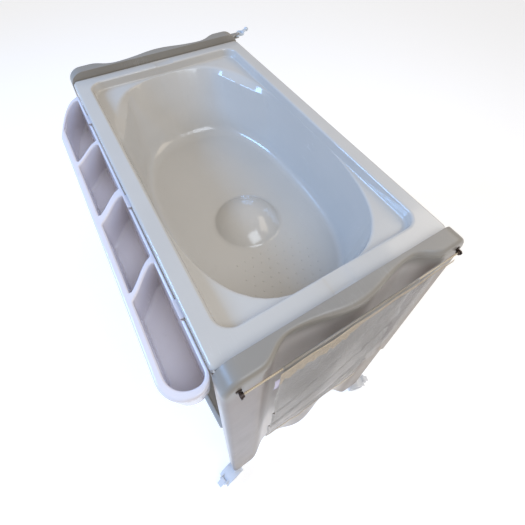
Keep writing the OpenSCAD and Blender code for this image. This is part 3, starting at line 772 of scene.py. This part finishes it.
def make_shelf():
    half_l = shelf_hi.x
    half_w = (shelf_hi.y - shelf_lo.y) / 2 - SHELF_BOW
    side = [Vector((half_l - 2 * half_l * i / 60, half_w + SHELF_BOW * (1 - (1 - i / 30) ** 2)))
            for i in [0, *range(4, 57), 60]]
    plan = side + [Vector((-p.x, -p.y)) for p in side]
    outline = evenly(rounded_corners(plan, 9 * MM), 240)
    body, wall = 6.5 * MM, 10 * MM
    under = evenly(rounded_corners(offset(plan, body), 16 * MM), 240)
    inside = evenly(rounded_corners(offset(plan, wall), 25 * MM), 240)
    loops = []
    for k in range(7):
        a = math.pi / 2 * k / 6
        loops.append(lift(offset(under, 12 * MM * (1 - math.sin(a))),
                          SHELF_Z - SHELF_H + 12 * MM * (1 - math.cos(a))))
    loops.append(lift(under, SHELF_Z - 6 * MM))
    loops += [lift(offset(outline, i * MM), SHELF_Z - z * MM)
              for i, z in ((5.6, 3.4), (1.2, 3), (0.4, 2.6), (0, 1.8), (0.1, 1), (0.6, 0.3), (1.4, 0))]
    loops += [lift(offset(inside, -3.5 * MM + 3.5 * MM * math.sin(math.pi / 2 * k / 5)),
                   SHELF_Z - 3.5 * MM * (1 - math.cos(math.pi / 2 * k / 5))) for k in range(6)]
    for k in range(8):
        a = math.pi / 2 * k / 7
        loops.append(lift(offset(inside, 2 * MM + 18 * MM * (1 - math.cos(a))),
                          SHELF_Z - SHELF_H + 3 * MM + 18 * MM * (1 - math.sin(a))))
    for end, height in ((0, SHELF_Z - SHELF_H), (-1, SHELF_Z - SHELF_H + 3 * MM)):
        edge, middle = loops[end], [Vector((0, 0, height))] * 240
        for part in (0.03, 0.35, 0.7, 0.96):
            loops.insert(0 if end == 0 else len(loops), mixed(edge, middle, part))
    shelf = loft("shelf_shell", loops, close_start=True, close_end=True)
    outward(shelf)
    settle(shelf, (0, MIDDLE_Y, 0))
    return smooth(shelf, 50)


# ---- castors ------------------------------------------------------------------------

CASTOR_TURN = {"right_front": -80, "right_rear": 75, "left_front": 260, "left_rear": 105}


def make_wheel():
    """One wheel round the Y axis at the origin, its hollow face and spokes on the +Y side."""
    profile = [(3.05, 6.5), (24.6, 6.5), (26.4, 6.2), (27.5, 5.3), (28, 3.7), (28, 0.4), (27.75, 0), (28, -0.4),
               (28, -3.7), (27.5, -5.3), (26.4, -6.2), (24.6, -6.5), (22.6, -6.4), (22, -5.7), (21.6, -4.4),
               (20.8, -3.9), (9.2, -3.9), (8.4, -4.4), (7.9, -6), (7.2, -6.5), (3.05, -6.5)]
    wheel = spun("wheel", [(r * MM, h * MM) for r, h in profile], 64)
    spokes = []
    for k in range(5):
        spoke = block("spoke", (7.4 * MM, 3.4 * MM, -0.9 * MM), (22 * MM, 5.7 * MM, 0.9 * MM), 0.4 * MM)
        spoke.rotation_euler = (0, math.radians(72 * k), 0)
        spokes.append(settle(spoke))
    return smooth(joined("wheel", [wheel] + spokes), 35)


def pedal_ribs(corner):
    """Three raised grip lines across the brake pedal's slope."""
    turn = math.radians(CASTOR_TURN[corner])
    axle_low, axle_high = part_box("axle_" + corner)
    axle = (axle_low + axle_high) / 2
    ribs = []
    for along, height in ((40.2, 19.4), (43.6, 16.9), (46.6, 14.5)):
        rib = block("rib", (along * MM - 0.5 * MM, -7.2 * MM, height * MM - 0.9 * MM),
                    (along * MM + 0.5 * MM, 7.2 * MM, height * MM + 0.5 * MM), 0.3 * MM)
        rib.rotation_euler = (0, 0, turn)
        ribs.append(settle(rib, axle))
    return joined("pedal_ribs_" + corner, ribs)


# ---- pocket -------------------------------------------------------------------------

HALF_CORD = (cord_hi.y - cord_lo.y) / 2
CORD_X, CORD_Z = (cord_lo.x + cord_hi.x) / 2, (cord_lo.z + cord_hi.z) / 2
CORD_R = (cord_hi.x - cord_lo.x) / 2
NET_TOP = (-158 * MM, 126 * MM)
NET_LOW = (-164 * MM, 118 * MM)


def cord_sag(y):
    """Height of the cord at a distance y from its middle."""
    return CORD_Z - 6 * MM * (1 - min(1, abs(y) / HALF_CORD) ** 2)


def ripple(y, z, lines):
    """A sum of (waves a metre across, waves a metre up, phase, height) ripples."""
    return sum(h * math.sin(2 * math.pi * (a * y + b * z) + p) for a, b, p, h in lines)


def hanging(name, columns, rows, shape):
    """A single sheet whose point at (across, down), both from 0 to 1, is shape(across, down)."""
    deselect()
    bpy.ops.mesh.primitive_grid_add(x_subdivisions=columns, y_subdivisions=rows, enter_editmode=True)
    piece = bpy.context.object
    piece.name = name
    bpy.ops.mesh.select_all(action="SELECT")
    place([shape(c / columns, r / rows) for r in range(rows + 1) for c in range(columns + 1)])
    facing(piece, (1, 0, 0))
    settle(piece, (0, MIDDLE_Y, 0))
    bpy.ops.object.shade_smooth()
    return piece


def net_hem(y):
    """Height of the front net's lower edge."""
    return 452 * MM + 60 * MM * ((y - 20 * MM) / (150 * MM)) ** 2 * (1 if y > 20 * MM else 0.25) \
        + 6 * MM * math.sin(y / (21 * MM))


GATHERS = [(58, 3, 0.4, 0.9), (83, -4, 2.0, 0.7), (121, 5, 1.1, 0.5)]
CREASES = [(-6.5, 8.2, 0.3, 2.1), (-11.5, 13.5, 1.9, 1.2), (-17, 23, 4.0, 0.7), (-4.2, 3.1, 2.4, 1.4)]
UPRIGHTS = [(24, 1.2, 0.2, 1.5), (41, -1.5, 1.0, 0.9)]


def front_net(across, down):
    """Wraps round the cord, then hangs in creases over a slack belly to its hem."""
    left = NET_TOP[0] + (NET_LOW[0] - NET_TOP[0]) * down
    right = NET_TOP[1] + (NET_LOW[1] - NET_TOP[1]) * down
    y = left + (right - left) * across
    top = cord_sag(y)
    if down < 0.04:
        angle = math.radians(-40 + 220 * down / 0.04)
        r = CORD_R + 0.9 * MM
        return Vector((CORD_X - r * math.cos(angle), y, top + r * math.sin(angle)))
    t = (down - 0.04) / 0.96
    z = top + (net_hem(y) - top) * t
    fade = ease(0, 1, t * 7)
    slack = 8.5 * MM * math.sin(math.pi * min(1, t * 1.04) ** 1.35)
    belly = slack * math.sin(math.pi * (0.06 + 0.88 * across)) ** 0.6
    gathers = ripple(y, z, GATHERS) * MM * math.exp(-t * 5) * fade
    creases = ripple(y, z, CREASES) * MM * fade * (0.35 + 0.65 * math.sin(math.pi * t))
    uprights = ripple(y, z, UPRIGHTS) * MM * fade * ease(0, 1, (across - 0.62) / 0.2) * (1 - 0.7 * t)
    x = CORD_X + (CORD_R + 0.9 * MM) * (1 - fade) + fade * (2.4 * MM)
    x += belly + 1.25 * creases + gathers + uprights
    edge = min(across, 1 - across)
    x -= 1.6 * MM * math.exp(-edge * 30) * fade
    return Vector((max(x, FACE_X + 3.6 * MM), y, z))


def back_net(across, down):
    """The sheer layer behind, which goes further towards the rear and ends in a ragged edge."""
    y = -150 * MM + 350 * MM * across
    top = cord_sag(y) - CORD_R - 1.0 * MM
    low = 500 * MM + 22 * MM * math.sin(y / (27 * MM)) * across + 70 * MM * max(0, across - 0.93) / 0.07
    if down > 0.985:
        low += 2.5 * MM * math.sin(across * 700)
    z = top + (low - top) * down
    belly = 7 * MM * math.sin(math.pi * down ** 1.2) * ease(0, 1, (across - 0.74) / 0.16) * math.sin(
        math.pi * min(1, max(0, (1.02 - across) / 0.3)) * 0.5 + 0.2)
    x = FACE_X + 2.2 * MM + belly + 0.5 * MM * (1 + ripple(y, z, [(18, 2, 0, 0.6), (33, -3, 1, 0.4)]))
    return Vector((x, y, z))


def lace_band(across, down):
    """Full and ruffled at the front end, and folded small towards the rear."""
    y = -166 * MM + 372 * MM * across
    full = 1 - ease(0, 1, (y + 45 * MM) / (60 * MM))
    height = 12 * MM + 38 * MM * full
    scallop = 1 - 0.16 * full * (1 - abs(math.sin(math.pi * y / (13 * MM)))) - 0.05 * full * (
        1 - abs(math.sin(math.pi * y / (3.25 * MM))))
    z = cord_sag(y) + 4.5 * MM - height * scallop * down
    out = 5.4 * MM + 1.4 * MM * math.sin(math.pi * down)
    ruffle = full * down * ripple(y, z, [(46, 4, 0.2, 1.1), (71, -6, 1.7, 0.7)]) * MM
    slack = 2.2 * MM * math.sin(2 * math.pi * y / (90 * MM)) * 0.3
    return Vector((CORD_X + out + ruffle + slack, y, z))


def ribbon_tab(across, down):
    """A short plain ribbon sewn to the net's front edge."""
    y = -160 * MM - 9 * MM * across + 1.2 * MM * math.sin(3 * down)
    z = 938 * MM - 52 * MM * down
    return Vector((FACE_X + (6.2 + 1.2 * math.sin(math.pi * down) - 1.6 * across * down) * MM, y, z))


def tube(name, points, radius, sides=10):
    """A round line along the points, closed at both ends."""
    loops = []
    for i, p in enumerate(points):
        along = (points[min(i + 1, len(points) - 1)] - points[max(i - 1, 0)]).normalized()
        over = along.cross(Vector((1, 0, 0.2))).normalized()
        aside = along.cross(over)
        r = radius[i] if isinstance(radius, list) else radius
        turns = [2 * math.pi * k / sides for k in range(sides)]
        loops.append([p + (over * math.cos(a) + aside * math.sin(a)) * r for a in turns])
    piece = loft(name, loops, close_start=True, close_end=True)
    outward(piece)
    return smooth(piece, 50)


def make_cord():
    reach = HALF_CORD - 0.2 * MM
    path = [Vector((CORD_X, MIDDLE_Y - reach + 2 * reach * i / 60, 0)) for i in range(61)]
    for p in path:
        p.z = cord_sag(p.y - MIDDLE_Y)
    return tube("cord_cover", path, CORD_R * 0.97, 12), path


def loose_threads():
    """Two threads that hang from the ragged edge."""
    threads = []
    for y, length, lean in ((188, 34, 9), (196, 22, -6)):
        points = []
        for i in range(13):
            t = i / 12
            aside = (y + lean * t * t + math.sin(5 * t)) * MM
            points.append(Vector((FACE_X + (4 + 3 * t) * MM, MIDDLE_Y + aside, (552 - length * t) * MM)))
        threads.append(tube("thread", points, 0.45 * MM, 6))
    return joined("loose_threads", threads)


def hem_fold():
    """The rolled hem along the front net's lower edge."""
    points = []
    for i in range(73):
        p = front_net(0.004 + 0.992 * i / 72, 1)
        points.append(Vector((p.x, p.y + MIDDLE_Y, p.z)))
    return tube("net_hem", points, 1.3 * MM, 8)


# ---- finishes -----------------------------------------------------------------------

class Value:
    """One number of a finish, so that sums on it can be written as sums."""

    def __init__(self, look, socket):
        self.look, self.socket = look, socket

    def with_(self, operation, other=None, clamp=False):
        return self.look.sum(operation, self, other, clamp)

    def __add__(self, other):
        return self.with_("ADD", other)

    __radd__ = __add__

    def __sub__(self, other):
        return self.with_("SUBTRACT", other)

    def __rsub__(self, other):
        return self.look.sum("SUBTRACT", other, self)

    def __mul__(self, other):
        return self.with_("MULTIPLY", other)

    __rmul__ = __mul__

    def __truediv__(self, other):
        return self.with_("DIVIDE", other)

    def __rtruediv__(self, other):
        return self.look.sum("DIVIDE", other, self)

    def __pow__(self, power):
        return self.with_("POWER", power)

    def sine(self):
        return self.with_("SINE")

    def size(self):
        return self.with_("ABSOLUTE")

    def kept(self):
        """The value held between 0 and 1."""
        return self.look.sum("ADD", self, 0, True)

    def step(self, low, high):
        """0 under low, 1 over high, and a smooth rise between them."""
        made = self.look.node("ShaderNodeMapRange", {"interpolation_type": "SMOOTHSTEP"},
                              {"Value": self, "From Min": low, "From Max": high})
        return Value(self.look, made.outputs["Result"])


class Look:
    """One finish as it is made, node by node."""

    def __init__(self, name):
        self.material = bpy.data.materials.new(name)
        self.material.use_nodes = True
        self.tree = self.material.node_tree
        self.tree.nodes.clear()
        self.place = self.node("ShaderNodeTexCoord").outputs["Object"]

    def node(self, kind, settings=None, inputs=None):
        made = self.tree.nodes.new(kind)
        for key, value in (settings or {}).items():
            setattr(made, key, value)
        for key, value in (inputs or {}).items():
            if isinstance(value, (Value, bpy.types.NodeSocket)):
                self.tree.links.new(value.socket if isinstance(value, Value) else value, made.inputs[key])
            else:
                made.inputs[key].default_value = value
        return made

    def sum(self, operation, a, b=None, clamp=False):
        inputs = {0: a} if b is None else {0: a, 1: b}
        return Value(self, self.node("ShaderNodeMath", {"operation": operation, "use_clamp": clamp},
                                     inputs).outputs[0])

    def stretched(self, scale, turn=(0, 0, 0)):
        """The place on the piece, closer together or turned."""
        return self.node("ShaderNodeMapping", None,
                         {"Vector": self.place, "Scale": scale, "Rotation": turn}).outputs[0]

    def noise(self, scale, detail=2, roughness=0.5, at=None):
        made = self.node("ShaderNodeTexNoise", None, {"Vector": at or self.place, "Scale": scale,
                                                      "Detail": detail, "Roughness": roughness})
        return Value(self, made.outputs[0])

    def cloth_place(self):
        """(across, down) on a sheet, both from 0 to 1."""
        split = self.node("ShaderNodeSeparateXYZ", None, {0: self.node("ShaderNodeTexCoord").outputs["UV"]})
        return Value(self, split.outputs[0]), Value(self, split.outputs[1])

    def axis(self, index):
        return Value(self, self.node("ShaderNodeSeparateXYZ", None, {0: self.place}).outputs[index])

    def mixed(self, a, b, amount):
        """A colour between two."""
        made = self.node("ShaderNodeMix", {"data_type": "RGBA"}, {0: amount})
        for index, colour in ((6, a), (7, b)):
            if isinstance(colour, bpy.types.NodeSocket):
                self.tree.links.new(colour, made.inputs[index])
            else:
                made.inputs[index].default_value = (*colour, 1)
        return made.outputs[2]

    def bump(self, height, distance, strength=1.0, normal=None):
        inputs = {"Height": height, "Distance": distance, "Strength": strength}
        if normal:
            inputs["Normal"] = normal
        return self.node("ShaderNodeBump", None, inputs).outputs[0]

    def finish(self, **inputs):
        named = {key.replace("_", " "): value for key, value in inputs.items()}
        colour = named.get("Base Color")
        if isinstance(colour, tuple) and len(colour) == 3:
            named["Base Color"] = (*colour, 1)
        surface = self.node("ShaderNodeBsdfPrincipled", None, named)
        self.node("ShaderNodeOutputMaterial", None, {"Surface": surface.outputs[0]})
        return self.material


def scratches(look, turn, amount):
    """Fine lines in one direction, in patches: 0 on a clean surface and 1 in a line."""
    lines = look.noise(1, 1, 0.4, look.stretched((14, 620, 14), turn))
    patch = look.noise(9, 2, 0.5).step(0.52, 0.7)
    return ((1 - (lines - 0.5).size() * 26).kept() ** 2 * patch * amount).kept()


def moulded(name, colour, shade, roughness, peel=0.000035, coat=0.0, wear=0.5, grain=900, painted_tones=None):
    """Moulded plastic: faint clouds of colour, orange peel, a fine grain, and scuffs."""
    look = Look(name)
    # painted light: when a function is given for the tones, the two tones come from it and carry painted light
    # and shade by place
    if painted_tones:
        colour, shade = painted_tones(look)
    clouds = look.noise(5.5, 4, 0.55)
    flow = look.noise(1, 3, 0.5, look.stretched((3, 3, 22), (0.15, 0.1, 0)))
    dust = look.noise(38, 4, 0.65).step(0.6, 0.78)
    lines = (scratches(look, (0.2, 0.1, 0.5), wear) + scratches(look, (0.3, 1.2, 1.9), wear)).kept()
    tone = look.mixed(colour, shade, (clouds.step(0.35, 0.72) * 0.55 + flow.step(0.4, 0.7) * 0.25).kept())
    tone = look.mixed(tone, (0.4, 0.37, 0.34), dust * 0.12)
    tone = look.mixed(tone, (0.7, 0.68, 0.66), lines * 0.3)
    rough = roughness + (look.noise(17, 3, 0.6) - 0.5) * 0.1 + dust * 0.08 + lines * 0.22
    wave = look.bump(look.noise(46, 2, 0.5), peel * 4)
    skin = look.bump(look.noise(grain, 2, 0.5) - lines * 0.8, peel, 1.0, wave)
    return look.finish(Base_Color=tone, Roughness=rough.kept(), Normal=skin, Coat_Weight=coat,
                       Coat_Roughness=0.08, IOR=1.5)


def painted_panel_light(look):
    """An end panel's colour with painted light and shade: paler deep in its flutes, where their shade is
    painted out, darker on its outer face, and a painted lighter band along its top.
    """
    # painted shade: 0 deep in the flutes and 1 on the outer face, so the flutes are painted paler and the outer
    # face darker
    outer = look.axis(0).size().step(FACE_X - 24 * MM, FACE_X - 5 * MM)
    # painted light: 1 along the panel's top band, which is painted lighter than the outer face
    top = look.axis(2).step(PANEL_TOP - 62 * MM, PANEL_TOP - 24 * MM)
    lit_and_shaded_tones = []
    # painted light and shade: a flute colour, an outer-face colour and a top-band colour for each of the two
    # tones
    for pale, dark, painted_top_light in (((0.6, 0.545, 0.5), (0.23, 0.175, 0.14), (0.285, 0.26, 0.225)),
                              ((0.54, 0.49, 0.45), (0.195, 0.15, 0.12), (0.26, 0.235, 0.205))):
        lit_and_shaded_tones.append(look.mixed(look.mixed(pale, dark, outer), painted_top_light, top))
    return lit_and_shaded_tones


def metal(name, colour, worn, roughness, metallic=1.0, wear=0.5):
    """Plated or painted metal with a fine grain along it and small worn spots."""
    look = Look(name)
    spots = look.noise(210, 4, 0.7).step(0.56, 0.68) * wear
    grain = look.noise(1, 2, 0.5, look.stretched((90, 1500, 1500)))
    tone = look.mixed(colour, worn, (spots + (grain - 0.5) * 0.3).kept())
    rough = roughness + spots * 0.25 + (grain - 0.5) * 0.12
    return look.finish(Base_Color=tone, Roughness=rough.kept(), Metallic=metallic,
                       Normal=look.bump(grain + spots, 0.00004))


def powder_coat(name, colour):
    """White powder coat: a pebbled skin."""
    look = Look(name)
    pebbles = look.noise(620, 3, 0.55)
    tone = look.mixed(colour, tuple(c * 0.93 for c in colour), look.noise(24, 3, 0.5).step(0.4, 0.7))
    return look.finish(Base_Color=tone, Roughness=(0.38 + (pebbles - 0.5) * 0.15).kept(),
                       Normal=look.bump(pebbles, 0.00012))


def netting(name, colour, shade, size, opening, pitch=1.7 * MM):
    """A fine net on a sheet of (width, length): crossed threads with partly open squares."""
    look = Look(name)
    across, down = look.cloth_place()
    drift = look.noise(60, 2, 0.5) * 0.35
    thread_a = ((across * (size[0] / pitch) + drift) * math.pi).sine().size()
    thread_b = ((down * (size[1] / pitch) + drift) * math.pi).sine().size()
    thread = (thread_a ** 11 + thread_b ** 11).kept()
    slub = look.noise(1, 3, 0.6, look.stretched((60, 60, 900)))
    clouds = look.noise(16, 3, 0.55)
    tone = look.mixed(colour, shade, (clouds.step(0.35, 0.7) * 0.7 + slub * 0.2).kept())
    seam = (1 - (across - 0.5).size() * 2).step(0.0, 0.035)
    body = 1 - (1 - thread) * opening * (0.75 + 0.5 * clouds)
    opaque = (body * seam + (1 - seam) * 0.96).kept()
    skin = look.bump(thread + slub * 0.4, 0.00035)
    return look.finish(Base_Color=tone, Roughness=(0.72 + (clouds - 0.5) * 0.2).kept(), Alpha=opaque,
                       Normal=skin, Sheen_Weight=0.15)


def lacework(name, colour, shade, size):
    """Cotton lace: a header, rows of round holes and small flowers, and a corded edge."""
    look = Look(name)
    across, down = look.cloth_place()
    step = 6.5 * MM
    wave_a = (across * (size[0] / step) * math.pi * 2).sine()
    wave_b = (down * (size[1] / step) * math.pi * 2 + 1.2).sine()
    eyes = (wave_a * wave_b).step(0.3, 0.55)
    small = ((across * (size[0] / (1.6 * MM)) * math.pi * 2).sine()
             * (down * (size[1] / (1.8 * MM)) * math.pi * 2).sine()).step(0.25, 0.6)
    solid = ((down - 0.5).size() * 2).step(0.8, 0.9)
    threads = look.noise(1500, 2, 0.6)
    holes = ((eyes + small * 0.7).kept() * (1 - solid)).kept()
    tone = look.mixed(colour, shade, (look.noise(150, 3, 0.6).step(0.35, 0.7) * 0.6 + threads * 0.3).kept())
    return look.finish(Base_Color=tone, Roughness=(0.8 + (threads - 0.5) * 0.2).kept(),
                       Alpha=(1 - holes * 0.86).kept(), Normal=look.bump(threads - holes, 0.0005))


def braid(name, colour, shade):
    """A covered cord: two sets of yarns that cross round it."""
    look = Look(name)
    x, y, z = look.axis(0), look.axis(1), look.axis(2)
    one = ((y * 1900 + (x + z) * 1200).sine() + 1) * 0.5
    two = ((y * 1900 - (x + z) * 1200).sine() + 1) * 0.5
    yarn = (one * two + look.noise(900, 2, 0.6) * 0.25).kept()
    return look.finish(Base_Color=look.mixed(shade, colour, yarn), Roughness=(0.75 + yarn * 0.1).kept(),
                       Normal=look.bump(yarn, 0.0005))


FINISHES = {
    "white_plastic": moulded("bath_plastic", (0.56, 0.53, 0.485), (0.52, 0.495, 0.455), 0.16, coat=0.5),
    # The end panels' two tones carry painted light and shade: paler in the flutes, darker on the outer face,
    # lighter along the top.
    "panel_plastic": moulded("panel_plastic", None, None, 0.33, peel=0.00005, wear=0.7, painted_tones=painted_panel_light),
    "castor_plastic": moulded("castor_plastic", (0.74, 0.76, 0.8), (0.68, 0.71, 0.76), 0.26, coat=0.2),
    "wheel_plastic": moulded("wheel_plastic", (0.7, 0.71, 0.73), (0.6, 0.61, 0.63), 0.45, wear=1.0),
    "hook_plastic": moulded("hook_plastic", (0.56, 0.63, 0.71), (0.48, 0.55, 0.64), 0.2, coat=0.4),
    "plug_plastic": moulded("plug_plastic", (0.72, 0.76, 0.82), (0.66, 0.7, 0.77), 0.42),
    "rail_steel": powder_coat("rail_coat", (0.8, 0.8, 0.8)),
    "screw_steel": metal("screw_plating", (0.72, 0.72, 0.74), (0.5, 0.49, 0.47), 0.28),
    "dark_metal": metal("dark_metal", (0.06, 0.045, 0.04), (0.3, 0.22, 0.16), 0.42, metallic=0.85, wear=0.8),
    "lace": lacework("lace_cotton", (0.7, 0.585, 0.43), (0.55, 0.44, 0.31), (0.372, 0.05)),
    "cord": braid("cord_cover", (0.78, 0.68, 0.53), (0.55, 0.45, 0.32)),
}
TRAY = moulded("tray_plastic", (0.76, 0.715, 0.745), (0.71, 0.665, 0.705), 0.2, coat=0.4)
NET_FRONT = netting("net_front", (0.56, 0.53, 0.5), (0.42, 0.4, 0.38), (0.284, 0.53), 0.95)
NET_BACK = netting("net_back", (0.6, 0.57, 0.55), (0.52, 0.49, 0.47), (0.35, 0.5), 0.85, 2.1 * MM)
NET_HEM = moulded("hem_thread", (0.8, 0.72, 0.6), (0.7, 0.62, 0.52), 0.8, peel=0.0002, wear=0.0)
RIBBON = moulded("ribbon_satin", (0.5, 0.43, 0.58), (0.44, 0.38, 0.53), 0.34, peel=0.00003, wear=0.0)


def dress(piece, slot, body, *nodes, finish=None):
    """Gives a piece its finish, its body and the CAD nodes that it stands for."""
    piece.data.materials.clear()
    piece.data.materials.append(finish or FINISHES[slot])
    if piece.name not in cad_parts:
        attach(piece, body)
        if nodes:
            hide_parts(*nodes)
    return piece


# ---- the stand, piece by piece ------------------------------------------------------

dress(make_bath(), "white_plastic", "bath", "bath_tub")
dress(anti_slip_dots(), "white_plastic", "bath")
dress(make_tray(), "white_plastic", "tray", "accessory_tray", finish=TRAY)
dress(make_shelf(), "white_plastic", "stand", "storage_shelf")
for side_name, side in (("right", 1), ("left", -1)):
    dress(make_panel("panel_skin_" + side_name, side), "panel_plastic", "stand", "end_panel_" + side_name)
    dress(panel_fittings("panel_fittings_" + side_name, side), "panel_plastic", "stand")
dress(hook_clevis(), "panel_plastic", "stand")

for node, slot, body, rounding in (
        ("drain_outlet", "white_plastic", "bath", 1.0), ("drain_plug", "plug_plastic", "plug", 0.8),
        ("towel_hook", "hook_plastic", "hook", 1.8),
        *((rail, "rail_steel", "stand", 1.2)
          for rail in ("upper_rail_front", "upper_rail_rear", "shelf_rail_front", "shelf_rail_rear")),
        ("cord_hook_front", "dark_metal", "stand", 0.5), ("cord_hook_rear", "dark_metal", "stand", 0.5),
        ("towel_hook_pin", "screw_steel", "stand", 0.3),
        *((screws, "screw_steel", "stand", 0.4)
          for screws in ("rail_screws_right", "rail_screws_left", "shelf_screws"))):
    dress(softened(node, rounding * MM), slot, body, node)

wheel = make_wheel()
for corner in CASTOR_TURN:
    castor, pedal = "castor_" + corner, "pedal_" + corner
    for node, slot, body, rounding in (
            ("socket_", "white_plastic", "stand", 0.5), ("stem_", "screw_steel", castor, 0.4),
            ("hood_", "castor_plastic", castor, 1.1), ("axle_", "screw_steel", castor, 0.4),
            ("brake_pedal_", "castor_plastic", pedal, 1.0)):
        dress(softened(node + corner, rounding * MM), slot, body, node + corner)
    dress(pedal_ribs(corner), "castor_plastic", pedal)
    for letter, half_turn in (("a", 0), ("b", 180)):
        node = "wheel_" + letter + "_" + corner
        low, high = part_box(node)
        turned = copied(wheel, node + "_skin")
        turned.rotation_euler = (0, 0, math.radians(CASTOR_TURN[corner] + half_turn))
        settle(turned, (low + high) / 2)
        dress(turned, "wheel_plastic", node, node)
bpy.data.objects.remove(wheel)

cord_piece, cord_path = make_cord()
dress(cord_piece, "cord", "stand", "elastic_cord")
front = dress(hanging("net_front", 150, 190, front_net), "net", "stand", "storage_pocket", finish=NET_FRONT)
back = dress(hanging("net_back", 110, 110, back_net), "net", "stand", finish=NET_BACK)
lace = dress(hanging("lace_band", 420, 14, lace_band), "lace", "stand", "lace_trim")
tab = dress(hanging("ribbon_tab", 8, 26, ribbon_tab), "lace", "stand", finish=RIBBON)
hem = dress(hem_fold(), "net", "stand", finish=NET_HEM)
threads = dress(loose_threads(), "net", "stand", finish=NET_HEM)
cord_length = sum((b - a).length for a, b in zip(cord_path, cord_path[1:]))

# ---- floor, light and camera --------------------------------------------------------

deselect()
bpy.ops.mesh.primitive_circle_add(vertices=96, radius=7, fill_type="NGON", location=(0, 0, -0.001))
floor = bpy.context.object
floor.name = "floor"
settle(floor)
pale = Look("pale_floor")
floor.data.materials.append(pale.finish(Base_Color=(0.92, 0.92, 0.92), Roughness=0.9,
                                         Emission_Color=(1, 1, 1, 1), Emission_Strength=0.36))


def soft_light(name, place_at, aim, size, watts, colour):
    deselect()
    bpy.ops.object.light_add(type="AREA", location=place_at)
    light = bpy.context.object
    light.name = name
    light.data.shape = "RECTANGLE"
    light.data.size, light.data.size_y = size
    light.data.energy = watts
    light.data.color = colour
    light.rotation_euler = (Vector(aim) - Vector(place_at)).to_track_quat("-Z", "Y").to_euler()
    return light


soft_light("warm_side", (0.5, 1.7, 2.5), (0, 0, 0.85), (1.6, 1.2), 13, (1, 0.88, 0.72))
soft_light("sky_side", (-0.7, -1.95, 2.15), (0.15, 0.2, 0.85), (1.1, 0.8), 56, (0.26, 0.52, 1))
soft_light("top_front", (1.35, 0.1, 2.6), (0.45, 0, 0.85), (1.0, 1.0), 15, (0.8, 0.89, 1))

world = bpy.data.worlds.new("studio")
bpy.context.scene.world = world
world.use_nodes = True
world.node_tree.nodes["Background"].inputs["Color"].default_value = (1, 0.96, 0.925, 1)
world.node_tree.nodes["Background"].inputs["Strength"].default_value = 0.52
bpy.context.scene.view_settings.view_transform = "Standard"

azimuth, elevation, roll = math.radians(57.2314), math.radians(47.1349), math.radians(-2.2483)
ahead = Vector((-math.sin(azimuth) * math.cos(elevation), math.cos(azimuth) * math.cos(elevation),
                -math.sin(elevation)))
level = Vector((math.cos(azimuth), math.sin(azimuth), 0))
below = ahead.cross(level)
across = math.cos(roll) * level + math.sin(roll) * below
downwards = -math.sin(roll) * level + math.cos(roll) * below
deselect()
bpy.ops.object.camera_add()
camera = bpy.context.object
camera.matrix_world = Matrix.Translation((0.582, -0.2899 + MIDDLE_Y, 1.5697)) @ Matrix(
    (across, -downwards, -ahead)).transposed().to_4x4()
camera.data.sensor_width = 36
camera.data.lens = 25.82
camera.data.shift_x, camera.data.shift_y = 0.0079, -0.1583
bpy.context.scene.camera = camera
